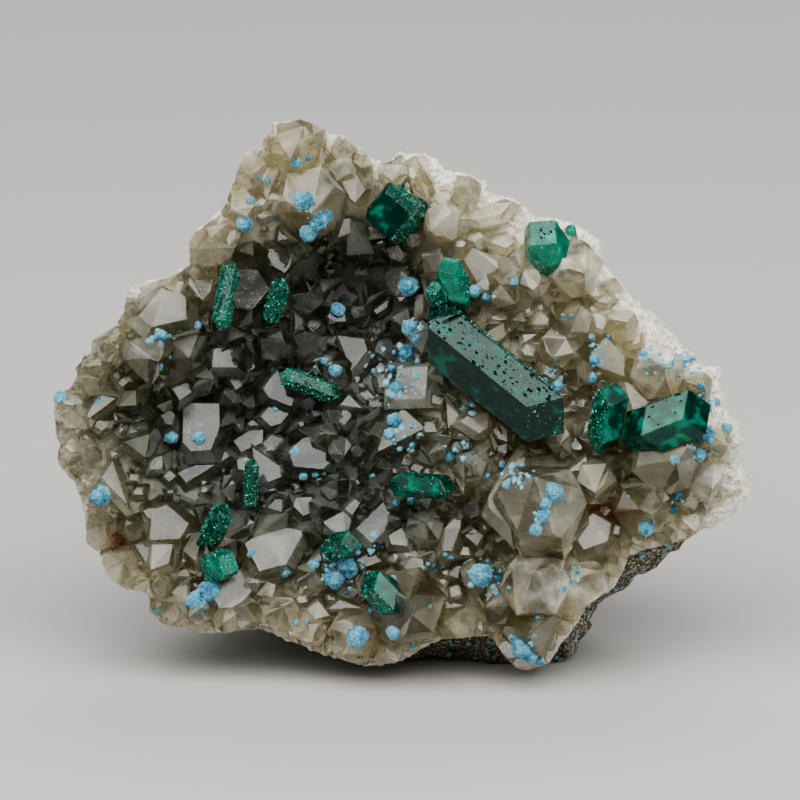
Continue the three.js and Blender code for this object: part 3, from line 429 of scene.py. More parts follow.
def quartz_material():
    """Clear quartz with veils and healed cracks, smoky in the hollow and milky towards the edge."""
    material, tree, bsdf = new_material("quartz", IOR=1.544)
    smoke = attribute(tree, "smoke")
    tone = attribute(tree, "tone")
    pale = attribute(tree, "pale")
    etch = attribute(tree, "etch")
    veils = textured(tree, "ShaderNodeTexNoise", 320, 5).outputs["Fac"]
    cloudy = ramp(tree, veils, [(0.36, (0.25,) * 3), (0.50, (0.58,) * 3), (0.64, (0.90,) * 3)])
    limpid = ramp(tree, veils, [(0.34, (0.86,) * 3), (0.46, (0.99,) * 3)])
    milky = mix(tree, tone, mix(tree, attribute(tree, "milk"), limpid, cloudy), limpid)
    etched = mix(tree, etch, (1.0, 1.0, 1.0), (0.72, 0.72, 0.72))
    tree.links.new(mix(tree, 1.0, mix(tree, smoke, milky, limpid), etched, "MULTIPLY"), bsdf.inputs["Transmission Weight"])
    tint = textured(tree, "ShaderNodeTexNoise", 150, 5).outputs["Fac"]
    cream = ramp(tree, tint, [(0.32, (0.84, 0.75, 0.53)), (0.5, (0.93, 0.87, 0.71)), (0.68, (0.99, 0.965, 0.87))])
    brown = ramp(tree, tint, [(0.32, (0.30, 0.285, 0.165)), (0.5, (0.45, 0.43, 0.285)), (0.68, (0.67, 0.65, 0.49))])
    dark = ramp(tree, tint, [(0.32, (0.20, 0.215, 0.17)), (0.5, (0.35, 0.37, 0.31)), (0.68, (0.56, 0.58, 0.50))])
    body = mix(tree, smoke, mix(tree, pale, mix(tree, tone, cream, brown), cream), dark)
    body = mix(tree, attribute(tree, "rust"), body, (0.30, 0.085, 0.02))
    cracks = textured(tree, "ShaderNodeTexVoronoi", 420, 0)
    cracks.feature = "DISTANCE_TO_EDGE"
    bright = ramp(tree, cracks.outputs["Distance"], [(0.0, (0.7,) * 3), (0.035, (0.0,) * 3)])
    broken = textured(tree, "ShaderNodeTexNoise", 260, 4).outputs["Fac"]
    some = ramp(tree, broken, [(0.5, (0.0,) * 3), (0.58, (1.0,) * 3)])
    lines = mix(tree, 1.0, bright, some, "MULTIPLY")
    tree.links.new(mix(tree, lines, body, (0.98, 0.97, 0.92)), bsdf.inputs["Base Color"])
    satin = textured(tree, "ShaderNodeTexNoise", 900, 3).outputs["Fac"]
    polished = ramp(tree, satin, [(0.35, (0.02,) * 3), (0.7, (0.08,) * 3)])
    tree.links.new(mix(tree, etch, polished, (0.3, 0.3, 0.3)), bsdf.inputs["Roughness"])
    growth = textured(tree, "ShaderNodeTexNoise", 1600, 2).outputs["Fac"]
    bump(tree, bsdf, growth, 0.1, 0.0001)
    absorb(material, tree, (0.65, 0.615, 0.35), 120)
    return material


def crust_material():
    material, tree, bsdf = new_material("massive_quartz", Roughness=0.5, IOR=1.544)
    grain = textured(tree, "ShaderNodeTexNoise", 1400, 5)
    patches = textured(tree, "ShaderNodeTexNoise", 180, 5)
    pale = ramp(tree, patches.outputs["Fac"], [(0.3, (0.095, 0.086, 0.048)), (0.5, (0.215, 0.20, 0.12)), (0.7, (0.42, 0.395, 0.285))])
    dark = ramp(tree, patches.outputs["Fac"], [(0.3, (0.028, 0.032, 0.025)), (0.5, (0.062, 0.067, 0.05)), (0.7, (0.13, 0.13, 0.10))])
    white = ramp(tree, grain.outputs["Fac"], [(0.3, (0.56, 0.50, 0.38)), (0.46, (0.84, 0.80, 0.70)), (0.6, (0.95, 0.94, 0.89))])
    cream = ramp(tree, patches.outputs["Fac"], [(0.3, (0.40, 0.34, 0.22)), (0.5, (0.64, 0.57, 0.42)), (0.7, (0.84, 0.79, 0.66))])
    body = mix(tree, attribute(tree, "pale"), pale, cream)
    body = mix(tree, attribute(tree, "smoke"), body, dark)
    body = mix(tree, attribute(tree, "rim"), body, white)
    body = mix(tree, attribute(tree, "rust"), body, (0.19, 0.075, 0.02))
    tree.links.new(body, bsdf.inputs["Base Color"])
    bump(tree, bsdf, grain.outputs["Fac"], 0.8, 0.0003)
    return material


def rock_material():
    """Dark rock with tan and white grains and light blue flecks."""
    material, tree, bsdf = new_material("speckled_rock", Roughness=0.85)
    grains = textured(tree, "ShaderNodeTexNoise", 2600, 7).outputs["Fac"]
    speckle = ramp(
        tree,
        grains,
        [(0.40, (0.03, 0.029, 0.025)), (0.50, (0.09, 0.083, 0.065)), (0.57, (0.20, 0.175, 0.13)), (0.66, (0.60, 0.58, 0.52))],
    )
    broad = textured(tree, "ShaderNodeTexNoise", 110, 5).outputs["Fac"]
    tone = ramp(tree, broad, [(0.35, (0.50, 0.48, 0.45)), (0.5, (0.95, 0.88, 0.76)), (0.65, (1.5, 1.3, 1.0))])
    body = mix(tree, 1.0, speckle, tone, "MULTIPLY")
    flecks = textured(tree, "ShaderNodeTexNoise", 1100, 7).outputs["Fac"]
    blue = ramp(tree, flecks, [(0.58, (0, 0, 0)), (0.63, (1, 1, 1))])
    patches = textured(tree, "ShaderNodeTexNoise", 60, 4).outputs["Fac"]
    clustered = ramp(tree, patches, [(0.54, (0, 0, 0)), (0.62, (1, 1, 1))])
    blue = mix(tree, 1.0, blue, mix(tree, attribute(tree, "front"), clustered, (1.0, 1.0, 1.0)), "MULTIPLY")
    tree.links.new(mix(tree, blue, body, (0.16, 0.44, 0.50)), bsdf.inputs["Base Color"])
    bump(tree, bsdf, grains, 0.7, 0.0005)
    return material


def dioptase_material(name, low, high, clearness, depth):
    """Green crystal with brighter wisps: its tints, how clear it is and how strongly it absorbs."""
    material, tree, bsdf = new_material(name, Roughness=0.06, IOR=1.66)
    bsdf.inputs["Specular Tint"].default_value = (0.50, 0.70, 0.64, 1)
    bsdf.inputs["Specular IOR Level"].default_value = 0.3
    wisps = textured(tree, "ShaderNodeTexNoise", 480, 5).outputs["Fac"]
    clear = (clearness,) * 3
    tree.links.new(ramp(tree, wisps, [(0.54, clear), (0.62, (0.6,) * 3)]), bsdf.inputs["Transmission Weight"])
    tree.links.new(ramp(tree, wisps, [(0.4, low), (0.64, high)]), bsdf.inputs["Base Color"])
    growth = textured(tree, "ShaderNodeTexNoise", 1200, 3).outputs["Fac"]
    bump(tree, bsdf, growth, 0.12, 0.0001)
    absorb(material, tree, (0.02, 0.84, 0.74), depth)
    return material


def painted_pit_shade_material():
    """The rough walls of growth pits, painted near black as the shade that falls in them."""
    material, tree, bsdf = new_material("dioptase_pits", Roughness=0.35, IOR=1.66)
    bsdf.inputs["Specular Tint"].default_value = (0.50, 0.70, 0.64, 1)
    grains = textured(tree, "ShaderNodeTexNoise", 2500, 4).outputs["Fac"]
    # Near-black green: painted shade in the pits
    tree.links.new(ramp(tree, grains, [(0.4, (0.0, 0.012, 0.01)), (0.65, (0.005, 0.07, 0.05))]), bsdf.inputs["Base Color"])
    bump(tree, bsdf, grains, 0.4, 0.0001)
    return material


def frost_material():
    """A crust of tiny green crystals, some of them pale where they catch the light."""
    material, tree, bsdf = new_material("dioptase_frost", Roughness=0.22, IOR=1.67, Transmission_Weight=0.15)
    bsdf.inputs["Specular IOR Level"].default_value = 0.35
    grains = textured(tree, "ShaderNodeTexNoise", 1500, 2).outputs["Fac"]
    green = ramp(tree, grains, [(0.36, (0.0, 0.05, 0.03)), (0.52, (0.0, 0.17, 0.10)), (0.68, (0.02, 0.36, 0.22))])
    tree.links.new(mix(tree, attribute(tree, "glint"), green, (0.40, 0.70, 0.60)), bsdf.inputs["Base Color"])
    return material


def shattuckite_material(name, deep_stops, light_stops):
    material, tree, bsdf = new_material(name, Roughness=0.75)
    fibres = textured(tree, "ShaderNodeTexNoise", 2600, 4)
    patches = textured(tree, "ShaderNodeTexNoise", 600, 3)
    deep = ramp(tree, fibres.outputs["Fac"], deep_stops)
    light = ramp(tree, fibres.outputs["Fac"], light_stops)
    share = ramp(tree, patches.outputs["Fac"], [(0.36, (0, 0, 0)), (0.54, (1, 1, 1))])
    tree.links.new(mix(tree, share, deep, light), bsdf.inputs["Base Color"])
    bsdf.inputs["Sheen Weight"].default_value = 0.3
    bump(tree, bsdf, fibres.outputs["Fac"], 0.8, 0.0002)
    return material


# Meshes


def make_piece(name, points, faces, materials, to_part=TO_PART, attributes=None, smooth=False):
    mesh = bpy.data.meshes.new(name)
    mesh.from_pydata([tuple(to_part @ Vector(p)) for p in points], [], faces)
    for material in materials:
        mesh.materials.append(material)
    for key, values in (attributes or {}).items():
        mesh.attributes.new(key, "FLOAT", "POINT").data.foreach_set("value", np.array(values, np.float32))
    mesh.update()
    if smooth:
        mesh.shade_smooth()
    made = bpy.data.objects.new(name, mesh)
    scene.collection.objects.link(made)
    return made


def small_point(radius, height):
    """A four-sided pyramid."""
    points = [Vector((radius, 0, 0)), Vector((0, radius, 0)), Vector((-radius, 0, 0)), Vector((0, -radius, 0)), Vector((0, 0, height))]
    return points, [(3, 2, 1, 0), (0, 1, 4), (1, 2, 4), (2, 3, 4), (3, 0, 4)]


def small_prism(sides, radius, length, tip):
    points = [(radius * math.cos(2 * math.pi * k / sides), radius * math.sin(2 * math.pi * k / sides), z) for z in (0, length) for k in range(sides)]
    points.append((0, 0, length + tip))
    faces = [tuple(reversed(range(sides)))]
    for k in range(sides):
        n = (k + 1) % sides
        faces.append((k, n, n + sides, k + sides))
        faces.append((k + sides, n + sides, 2 * sides))
    return [Vector(p) for p in points], faces


def facing(angle, turn):
    out = math.sin(angle)
    return Vector((out * math.cos(turn), out * math.sin(turn), math.cos(angle)))


def body_inside(planes):
    """The corners and faces of the convex body inside a set of (normal, reach) planes."""
    corners = []
    count = len(planes)
    for i in range(count):
        for j in range(i + 1, count):
            across = planes[i][0].cross(planes[j][0])
            for k in range(j + 1, count):
                share = planes[k][0].dot(across)
                if abs(share) < 1e-6:
                    continue
                a, b, c = planes[i], planes[j], planes[k]
                corner = (a[1] * b[0].cross(c[0]) + b[1] * c[0].cross(a[0]) + c[1] * across) / share
                if all(n.dot(corner) <= reach + 1e-5 for n, reach in planes):
                    if all((corner - other).length > 1e-3 for other in corners):
                        corners.append(corner)
    hull = bmesh.new()
    for corner in corners:
        hull.verts.new(corner)
    made = bmesh.ops.convex_hull(hull, input=hull.verts)
    bmesh.ops.delete(hull, geom=made["geom_interior"] + made["geom_unused"], context="VERTS")
    bmesh.ops.recalc_face_normals(hull, faces=hull.faces)
    hull.verts.index_update()
    body = [v.co.copy() for v in hull.verts], [tuple(v.index for v in f.verts) for f in hull.faces]
    hull.free()
    return body


def quartz_prism(radius, length, rng):
    planes = [(Vector((0, 0, -1)), 0.0)]
    for k in range(6):
        planes.append((facing(math.pi / 2, k * math.pi / 3), radius * math.cos(math.pi / 6) * rng.uniform(0.84, 1.06)))
        above = rng.uniform(0.2, 0.6) if k % 2 else rng.uniform(0, 0.25)
        point = facing(QUARTZ_POINT_ANGLE, k * math.pi / 3)
        planes.append((point, point.z * (length + above * radius)))
    return body_inside(planes)


def standing(axis, towards, roll, place):
    z = axis.normalized()
    x = (towards - z * towards.dot(z)).normalized()
    x = Matrix.Rotation(roll, 3, z) @ x
    made = Matrix((x, z.cross(x), z)).transposed().to_4x4()
    made.translation = place
    return made


TO_LIGHT = Vector((0, math.sin(LIGHT_TILT), math.cos(LIGHT_TILT)))


def facet_crystal(corners, rng):
    """A crystal whose lit facet has these corners, with faces that slope away and walls down into the crust."""
    cx, cy = (sum(c[i] for c in corners) / len(corners) for i in (0, 1))
    edges = list(zip(corners, corners[1:] + corners[:1]))
    signed_area = sum(a[0] * b[1] - b[0] * a[1] for a, b in edges) / 2
    size = math.sqrt(abs(signed_area))
    tilt = 0.16 + 0.24 * hill(cx, cy, -6, 14, 11, 11)
    normal = (TO_LIGHT + Vector((rng.uniform(-tilt, tilt), rng.uniform(-tilt, tilt), 0))).normalized()
    centre = Vector((cx, cy, druse_floor(cx, cy) + 0.55 * size + 1))

    def on_facet(x, y):
        return Vector((x, y, centre.z - (normal.x * (x - cx) + normal.y * (y - cy)) / normal.z))

    planes = [(normal, normal.dot(centre)), (Vector((0, 0, -1)), ROOT_DEPTH - druse_floor(cx, cy))]
    for a, b in edges:
        start = on_facet(*a)
        away = (on_facet(*b) - start).cross(normal).normalized() * math.copysign(1, signed_area)
        slope = rng.uniform(*FACET_SLOPES)
        beside = normal * math.cos(slope) + away * math.sin(slope)
        planes.append((beside, beside.dot(start)))
        wall = Vector((away.x, away.y, rng.uniform(0.05, 0.2))).normalized()
        planes.append((wall, wall.dot(start) + rng.uniform(0.18, 0.32) * size + 0.3))
    return body_inside(planes)


def leaning_crystal(spot, rng):
    x, y, r, to, lean, turn = spot
    axis = facing(math.radians(lean), math.radians(to))
    root = max(1, (ROOT_DEPTH - r * math.sin(math.radians(lean))) / math.cos(math.radians(lean)))
    shown = 1.15 * r + 0.8
    foot = Vector((x, y, druse_floor(x, y) + shown)) - axis * (root + shown)
    points, faces = quartz_prism(r, root + shown + 0.55 * r, rng)
    place = standing(axis, Vector((0, 1, 0.3)), math.radians(turn), foot)
    return [place @ p for p in points], faces


def is_inside(x, y, margin):
    inside = False
    for i, (ax, ay) in enumerate(QUARTZ_OUTLINE):
        bx, by = QUARTZ_OUTLINE[(i + 1) % len(QUARTZ_OUTLINE)]
        if (ay > y) != (by > y) and x < (bx - ax) * (y - ay) / (by - ay) + ax:
            inside = not inside
    return inside and all(math.hypot(ax - x, ay - y) > margin for ax, ay in QUARTZ_OUTLINE)


def open_spots(taken, wanted, least, most, spacing, rng):
    """Places for smaller crystals between those already there."""
    found = []
    for _ in range(wanted * 60):
        if len(found) == wanted:
            break
        x, y, r = rng.uniform(-48, 48), rng.uniform(-38, 38), rng.uniform(least, most)
        near = any(math.hypot(s[0] - x, s[1] - y) < spacing * (s[2] + r) for s in taken + found)
        quiet = most < 2 and max(hill(x, y, *zone) for zone in QUIET) > rng.random()
        if not near and not quiet and is_inside(x, y, 1 + 2.4 * whiteness(x, y)):
            found.append((x, y, r))
    return found


def edge_spots(rng):
    """Places for small crystals along the parts of the edge that aren't white."""
    found = []
    angle = 0.0
    while angle < 2 * math.pi:
        reach = outline_reach(angle)
        r = rng.uniform(1.1, 2.2)
        x, y = (MIDDLE[0] + (reach - r) * math.cos(angle), MIDDLE[1] + (reach - r) * math.sin(angle))
        if rng.random() > whiteness(x, y):
            found.append((x, y, r, math.degrees(angle) + rng.uniform(-40, 40), rng.uniform(5, 35), rng.uniform(0, 60)))
        angle += 1.5 * r / reach
    return found


def small_facet(x, y, r, rng):
    """The corners of an uneven three to five-sided facet."""
    sides = rng.choice((3, 4, 4, 5))
    turn = rng.uniform(0, 2 * math.pi)
    stretch = rng.uniform(0.6, 1.0)
    corners = []
    for k in range(sides):
        angle = turn + 2 * math.pi * (k + rng.uniform(-0.22, 0.22)) / sides
        reach = r * rng.uniform(0.75, 1.15)
        corners.append((x + reach * math.cos(angle), y + reach * stretch * math.sin(angle)))
    return corners


def edge_wall():
    """A rough upright column within the broken edge, that the crystals end at."""
    spokes, levels = 300, 22
    reaches = [outline_reach(2 * math.pi * i / spokes) for i in range(spokes)]
    points = []
    for level in range(levels):
        for i, reach in enumerate(reaches):
            turn = 2 * math.pi * i / spokes
            z = -18 + 1.9 * level
            rough = chips(Vector((reach * math.cos(turn), reach * math.sin(turn), z)), 1.6)
            out = reach - 0.35 + 0.3 * rough
            points.append((MIDDLE[0] + out * math.cos(turn), MIDDLE[1] + out * math.sin(turn), z))
    faces = [tuple(reversed(range(spokes))), tuple(range((levels - 1) * spokes, levels * spokes))]
    for level in range(levels - 1):
        for i in range(spokes):
            a, b = level * spokes + i, level * spokes + (i + 1) % spokes
            faces.append((a, b, b + spokes, a + spokes))
    return points, faces


def joined(name, bodies, material, rng):
    """One closed mesh from crystals that grow through each other and end at the broken edge."""
    grown = bpy.data.collections.new(name)
    first = None
    for i, (points, faces) in enumerate(bodies):
        part = make_piece(f"{name}_{i}", points, faces, [material])
        tone = [rng.random()] * len(faces)
        etch = [max(0.0, rng.uniform(-0.6, 1.0)) for _ in faces]
        for key, values in (("tone", tone), ("etch", etch)):
            part.data.attributes.new(key, "FLOAT", "FACE").data.foreach_set("value", np.array(values, np.float32))
        scene.collection.objects.unlink(part)
        if first is None:
            first = part
        else:
            grown.objects.link(part)
    scene.collection.objects.link(first)
    scene.collection.children.link(grown)
    wall = make_piece(f"{name}_wall", *edge_wall(), [material])
    union = first.modifiers.new("union", "BOOLEAN")
    union.operation = "UNION"
    union.operand_type = "COLLECTION"
    union.collection = grown
    union.solver = "MANIFOLD"
    trim = first.modifiers.new("trim", "BOOLEAN")
    trim.operation = "INTERSECT"
    trim.object = wall
    trim.solver = "MANIFOLD"
    bpy.context.view_layer.update()
    mesh = bpy.data.meshes.new_from_object(first.evaluated_get(bpy.context.evaluated_depsgraph_get()))
    mesh.name = name
    whole = bpy.data.objects.new(name, mesh)
    for part in [first, wall, *grown.objects]:
        bpy.data.objects.remove(part)
    bpy.data.collections.remove(grown)
    scene.collection.objects.link(whole)
    return whole


rng = random.Random(20117)
bodies, taken = [], []
for corners in LIT_FACETS:
    bodies.append(facet_crystal(corners, rng))
    xs, ys = zip(*corners)
    taken.append((sum(xs) / len(xs), sum(ys) / len(ys), (max(xs) - min(xs) + max(ys) - min(ys)) / 4 + 0.4))
for spot in LEANING_QUARTZ + edge_spots(rng):
    bodies.append(leaning_crystal(spot, rng))
    taken.append(spot[:3])
for wanted, least, most, spacing, lit in FILLING:
    for x, y, r in open_spots(taken, wanted, least, most, spacing, rng):
        if rng.random() < lit:
            body = facet_crystal(small_facet(x, y, 0.7 * r, rng), rng)
        else:
            body = leaning_crystal((x, y, r, rng.uniform(0, 360), rng.uniform(8, 50), rng.uniform(0, 60)), rng)
        bodies.append(body)
        taken.append((x, y, r))

crystals = joined("quartz_crystals", bodies, quartz_material(), rng)
to_face = TO_PART.inverted()
places = [to_face @ v.co for v in crystals.data.vertices]
shades = {
    "smoke": [smokiness(p.x, p.y) for p in places],
    "pale": [paleness(p.x, p.y) for p in places],
    "milk": [milkiness(p.x, p.y) for p in places],
    "rust": [rustiness(p.x, p.y, p.z - druse_floor(p.x, p.y)) for p in places],
}
for key, values in shades.items():
    crystals.data.attributes.new(key, "FLOAT", "POINT").data.foreach_set("value", np.array(values, np.float32))
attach(crystals, "root")


# The massive crust under the crystals, with its broken sugary edge

SPOKES = 640
FLOOR_RINGS = 64
GRAINS = 3900


def crust_mesh():
    reaches = [outline_reach(2 * math.pi * i / SPOKES) for i in range(SPOKES)]
    rings = []
    for j in range(1, FLOOR_RINGS + 1):
        rings.append((BROKEN_BAND, j / FLOOR_RINGS, "floor"))
    rings += [(BROKEN_BAND * (1 - t / 9), 1, 3 * (t / 9) ** 2) for t in range(1, 9)]
    rings += [(0.0, 1, 3.1), (0.02, 1, 3.5), (0.15, 1, 3.9), (0.4, 1, 4.3), (0.8, 1, 4.7), (1.3, 1, 5.1)]
    rings += [(1.9, 1, 5.5), (2.7, 1, 5.9), (3.8, 1, "back")]
    rings += [(5, 1 - t / 18, "back") for t in range(17)]
    points, shade = [], []

    def add(x, y, height, rim):
        if height == "floor":
            z = druse_floor(x, y)
        elif height == "back":
            z = crust_back(x, y)
        else:
            z = druse_floor(x, y) - height
        points.append(Vector((x, y, z)))
        shade.append((smokiness(x, y), rim))

    add(*MIDDLE, "floor", 0)
    for inset, share, height in rings:
        for i in range(SPOKES):
            reach = share * (reaches[i] - inset)
            angle = 2 * math.pi * i / SPOKES
            from_edge = reaches[i] - reach
            x, y = MIDDLE[0] + reach * math.cos(angle), MIDDLE[1] + reach * math.sin(angle)
            white = whiteness(x, y)
            near = 1.0 if height != "floor" else max(0.0, min(1.0, 1.7 - from_edge / 3))
            deep = 0.7 if height == "back" or (height != "floor" and height > 3.4) else 1.0
            add(x, y, height, near * (0.5 + 0.5 * white) * deep)
    add(*MIDDLE, "back", 1)
    last = len(points) - 1
    faces = []
    for i in range(SPOKES):
        k = (i + 1) % SPOKES
        faces.append((0, 1 + i, 1 + k))
        for ring in range(len(rings) - 1):
            a, b = 1 + ring * SPOKES, 1 + (ring + 1) * SPOKES
            faces.append((a + i, b + i, b + k, a + k))
        final = 1 + (len(rings) - 1) * SPOKES
        faces.append((final + k, final + i, last))
    return points, faces, shade


def vertex_normals(points, faces):
    normals = [Vector() for _ in points]
    for face in faces:
        a, b, c = points[face[0]], points[face[1]], points[face[2]]
        normal = (b - a).cross(c - a)
        for i in face:
            normals[i] += normal
    return [n.normalized() if n.length > 0 else Vector((0, 0, 1)) for n in normals]


points, faces, shade = crust_mesh()
normals = vertex_normals(points, faces)
crust_points = []
for point, normal, (_, rim) in zip(points, normals, shade):
    rough = 0.5 * chips(point, 0.8) + 0.6 * chips(point + Vector((40, 0, 0)), 2.2)
    size = 0.14 + 0.71 * rim
    crust_points.append(point + normal * (rough * size - 0.25 * rim))
rust = [rustiness(p.x, p.y, 0) if p.z > -6 else 0.0 for p in points]
attributes = {
    "smoke": [s for s, _ in shade],
    "rim": [r for _, r in shade],
    "rust": rust,
    "pale": [paleness(p.x, p.y) for p in points],
}

# Sugary grains on the white of the edge
white_places = [i for i, (_, rim) in enumerate(shade) if rim > 0.62 and points[i].z > crust_back(points[i].x, points[i].y)]
for i in rng.sample(white_places, GRAINS):
    size = rng.uniform(0.1, 0.2) if rng.random() < 0.7 else rng.uniform(0.2, 0.42)
    shape, polygons = small_prism(5, size, size * rng.uniform(0.5, 1.6), size * 0.7)
    lean = Vector((rng.uniform(-1, 1), rng.uniform(-1, 1), rng.uniform(-1, 1)))
    aim = (normals[i] + lean * 0.9).normalized()
    turn = standing(aim, Vector((0.31, 0.2, 0.93)), rng.uniform(0, 1), crust_points[i] - aim * size * 0.7)
    start = len(crust_points)
    crust_points += [turn @ p for p in shape]
    faces += [tuple(start + k for k in polygon) for polygon in polygons]
    for values, value in zip(attributes.values(), (0.0, rng.uniform(0.5, 1.0), 0.0, 1.0)):
        values += [value] * len(shape)

crust = make_piece("quartz_crust", crust_points, faces, [crust_material()], attributes=attributes)
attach(crust, "root")
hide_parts("quartz_druse")


# The rock behind, broken and speckled, flat where it stands

ROCK_VOXEL = 0.0009
rock_mesh = frame["nodes"]["rock_matrix"].data.copy()
rock_mesh.materials.clear()
rock = bpy.data.objects.new("rock_body", rock_mesh)
scene.collection.objects.link(rock)
fine = rock.modifiers.new("fine", "REMESH")
fine.mode = "VOXEL"
fine.voxel_size = ROCK_VOXEL
rock.data = bpy.data.meshes.new_from_object(rock.evaluated_get(bpy.context.evaluated_depsgraph_get()))
rock.modifiers.clear()
rock.data.materials.append(rock_material())
for vertex in rock.data.vertices:
    place = vertex.co / MM
    above_base = min(1.0, max(0.0, place.z / 1.5))
    rough = 0.9 * chips(place, 6.0) + 0.35 * chips(place, 2.0)
    vertex.co += vertex.normal * (rough - 0.5) * MM * above_base
    vertex.co.z = max(vertex.co.z, 0.0)
fronts = [max(0.0, min(1.0, ((to_face @ v.co).z + 14) / 4)) for v in rock.data.vertices]
rock.data.attributes.new("front", "FLOAT", "POINT").data.foreach_set("value", np.array(fronts, np.float32))
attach(rock, "root")
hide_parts("rock_matrix")


# Green crystals keep their solids, with softened edges

DARK = dioptase_material("dioptase_dark", (0.0, 0.05, 0.05), (0.01, 0.16, 0.12), 0.95, 1500)
DEEP = dioptase_material("dioptase_deep", (0.0, 0.15, 0.10), (0.01, 0.38, 0.25), 0.88, 1000)
CLEAR = dioptase_material("dioptase_clear", (0.01, 0.34, 0.22), (0.06, 0.62, 0.42), 0.75, 420)
PIT_WALLS_PAINTED_SHADE = painted_pit_shade_material()
GREENS = {"dioptase_main_prism": DARK}
for name in ("bright_rhomb", "upper_prism", "rim_chip", "frosted_block"):
    GREENS[f"dioptase_{name}"] = CLEAR
EDGE = 0.0001
FROST_DENSITY = 26  # grains to a square millimetre
for name, solid in frame["nodes"].items():
    if not name.startswith("dioptase"):
        continue
    solid.data.materials.clear()
    solid.data.materials.append(GREENS.get(name, DEEP))
    closed = solid.modifiers.new("closed", "WELD")
    closed.merge_threshold = 1e-6
    worn = solid.modifiers.new("worn_edges", "BEVEL")
    worn.width = EDGE
    worn.segments = 2
    worn.limit_method = "ANGLE"
    worn.angle_limit = math.radians(20)


def scattered(solid, count, rng):
    """Points and normals on a solid's faces, evenly by area."""
    mesh = solid.data
    mesh.calc_loop_triangles()
    triangles = list(mesh.loop_triangles)
    areas = [t.area for t in triangles]
    for triangle in rng.choices(triangles, areas, k=count):
        a, b, c = (mesh.vertices[i].co for i in triangle.vertices)
        u, v = rng.random(), rng.random()
        if u + v > 1:
            u, v = 1 - u, 1 - v
        yield a + (b - a) * u + (c - a) * v, triangle.normal.copy()


def pitted(name, count, least, most, side, rng):
    """A copy of a solid with small growth pits in the faces on one side, their walls painted dark as shade."""
    solid = frame["nodes"][f"dioptase_{name}"]
    look = solid.data.materials[0]
    pits = bpy.data.collections.new(name)
    for place, normal in scattered(solid, count, rng):
        if (TO_FACE_AXES @ normal).normalized().dot(Vector(side).normalized()) < 0.9:
            continue
        size = rng.uniform(least, most)
        shape, polygons = small_point(size, size * rng.uniform(1.1, 1.9))
        along = (solid_axis(solid) - normal * solid_axis(solid).dot(normal)).normalized()
        lean = Vector((rng.uniform(-0.2, 0.2), rng.uniform(-0.2, 0.2), rng.uniform(-0.2, 0.2)))
        turn = standing(lean - normal, along, rng.uniform(-0.3, 0.3), place / MM + normal * 0.04)
        stretch = Matrix.Diagonal((rng.uniform(1, 2.2), 1, 1, 1))
        pit = make_piece(f"{name}_pit", [turn @ stretch @ p for p in shape], polygons, [look, PIT_WALLS_PAINTED_SHADE], Matrix.Scale(MM, 4))
        # The pit walls take the dark material of painted shade
        for polygon in pit.data.polygons:
            polygon.material_index = 1
        scene.collection.objects.unlink(pit)
        pits.objects.link(pit)
    scene.collection.children.link(pits)
    bpy.context.view_layer.update()
    whole = bpy.data.objects.new(f"{name}_pitted", evaluated_mesh(solid))
    whole.data.materials.append(PIT_WALLS_PAINTED_SHADE)
    scene.collection.objects.link(whole)
    cut = whole.modifiers.new("pits", "BOOLEAN")
    cut.operation = "DIFFERENCE"
    cut.operand_type = "COLLECTION"
    cut.collection = pits
    cut.solver = "MANIFOLD"
    bpy.context.view_layer.update()
    whole.data = evaluated_mesh(whole)
    whole.modifiers.clear()
    for pit in list(pits.objects):
        bpy.data.objects.remove(pit)
    bpy.data.collections.remove(pits)
    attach(whole, "root")
    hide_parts(solid.name)


def evaluated_mesh(thing):
    return bpy.data.meshes.new_from_object(thing.evaluated_get(bpy.context.evaluated_depsgraph_get()))


def solid_axis(solid):
    """The direction in which a solid is longest."""
    places = np.array([v.co for v in solid.data.vertices])
    spread = places - places.mean(axis=0)
    return Vector(np.linalg.svd(spread)[2][0])


coat_points, coat_faces, glints = [], [], []
TO_FACE_AXES = TO_PART.to_3x3().inverted()
for name, (share, side) in FROSTED.items():
    solid = frame["nodes"][f"dioptase_{name}"]
    area = sum(p.area for p in solid.data.polygons) / MM**2
    for place, normal in scattered(solid, int(area * share * FROST_DENSITY), rng):
        if side and (TO_FACE_AXES @ normal).normalized().dot(Vector(side)) < 0.3:
            continue
        size = rng.uniform(0.07, 0.19)
        shape, polygons = small_point(size, size * rng.uniform(1.6, 2.6))
        lean = Vector((rng.uniform(-0.7, 0.7), rng.uniform(-0.7, 0.7), rng.uniform(-0.7, 0.7)))
        aim = (normal + lean).normalized()
        turn = standing(aim, Vector((0.3, 0.2, 1)), rng.uniform(0, 1), place / MM - aim * size * 0.9)
        start = len(coat_points)
        coat_points += [turn @ p for p in shape]
        coat_faces += [tuple(start + i for i in f) for f in polygons]
        glints += [float(rng.random() < 0.06)] * len(shape)
green_coat = make_piece(
    "dioptase_fine_druse", coat_points, coat_faces, [frost_material()], Matrix.Scale(MM, 4), attributes={"glint": glints}
)
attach(green_coat, "root")
for name, (count, least, most, side) in PITTED.items():
    pitted(name, count, least, most, side, rng)


# Blue balls, on the quartz as it lies under each

bpy.context.view_layer.update()
surfaces = [BVHTree.FromObject(o, bpy.context.evaluated_depsgraph_get()) for o in (crystals, crust)]
OUT = (TO_PART.to_3x3() @ Vector((0, 0, 1))).normalized()


def on_surface(x, y):
    """Where the druse lies under a point of the face, and its normal, in the part's frame."""
    start = TO_PART @ Vector((x, y, 40))
    hits = [hit for hit in (tree.ray_cast(start, -OUT) for tree in surfaces) if hit[0]]
    if not hits:
        return None
    place, normal = min(hits, key=lambda hit: hit[3])[:2]
    return place, normal


def icosphere(levels):
    shape = bmesh.new()
    bmesh.ops.create_icosphere(shape, subdivisions=levels, radius=1)
    points = [v.co.copy() for v in shape.verts]
    faces = [tuple(v.index for v in f.verts) for f in shape.faces]
    shape.free()
    return points, faces


BALLS = {levels: icosphere(levels) for levels in (2, 3, 4, 5)}


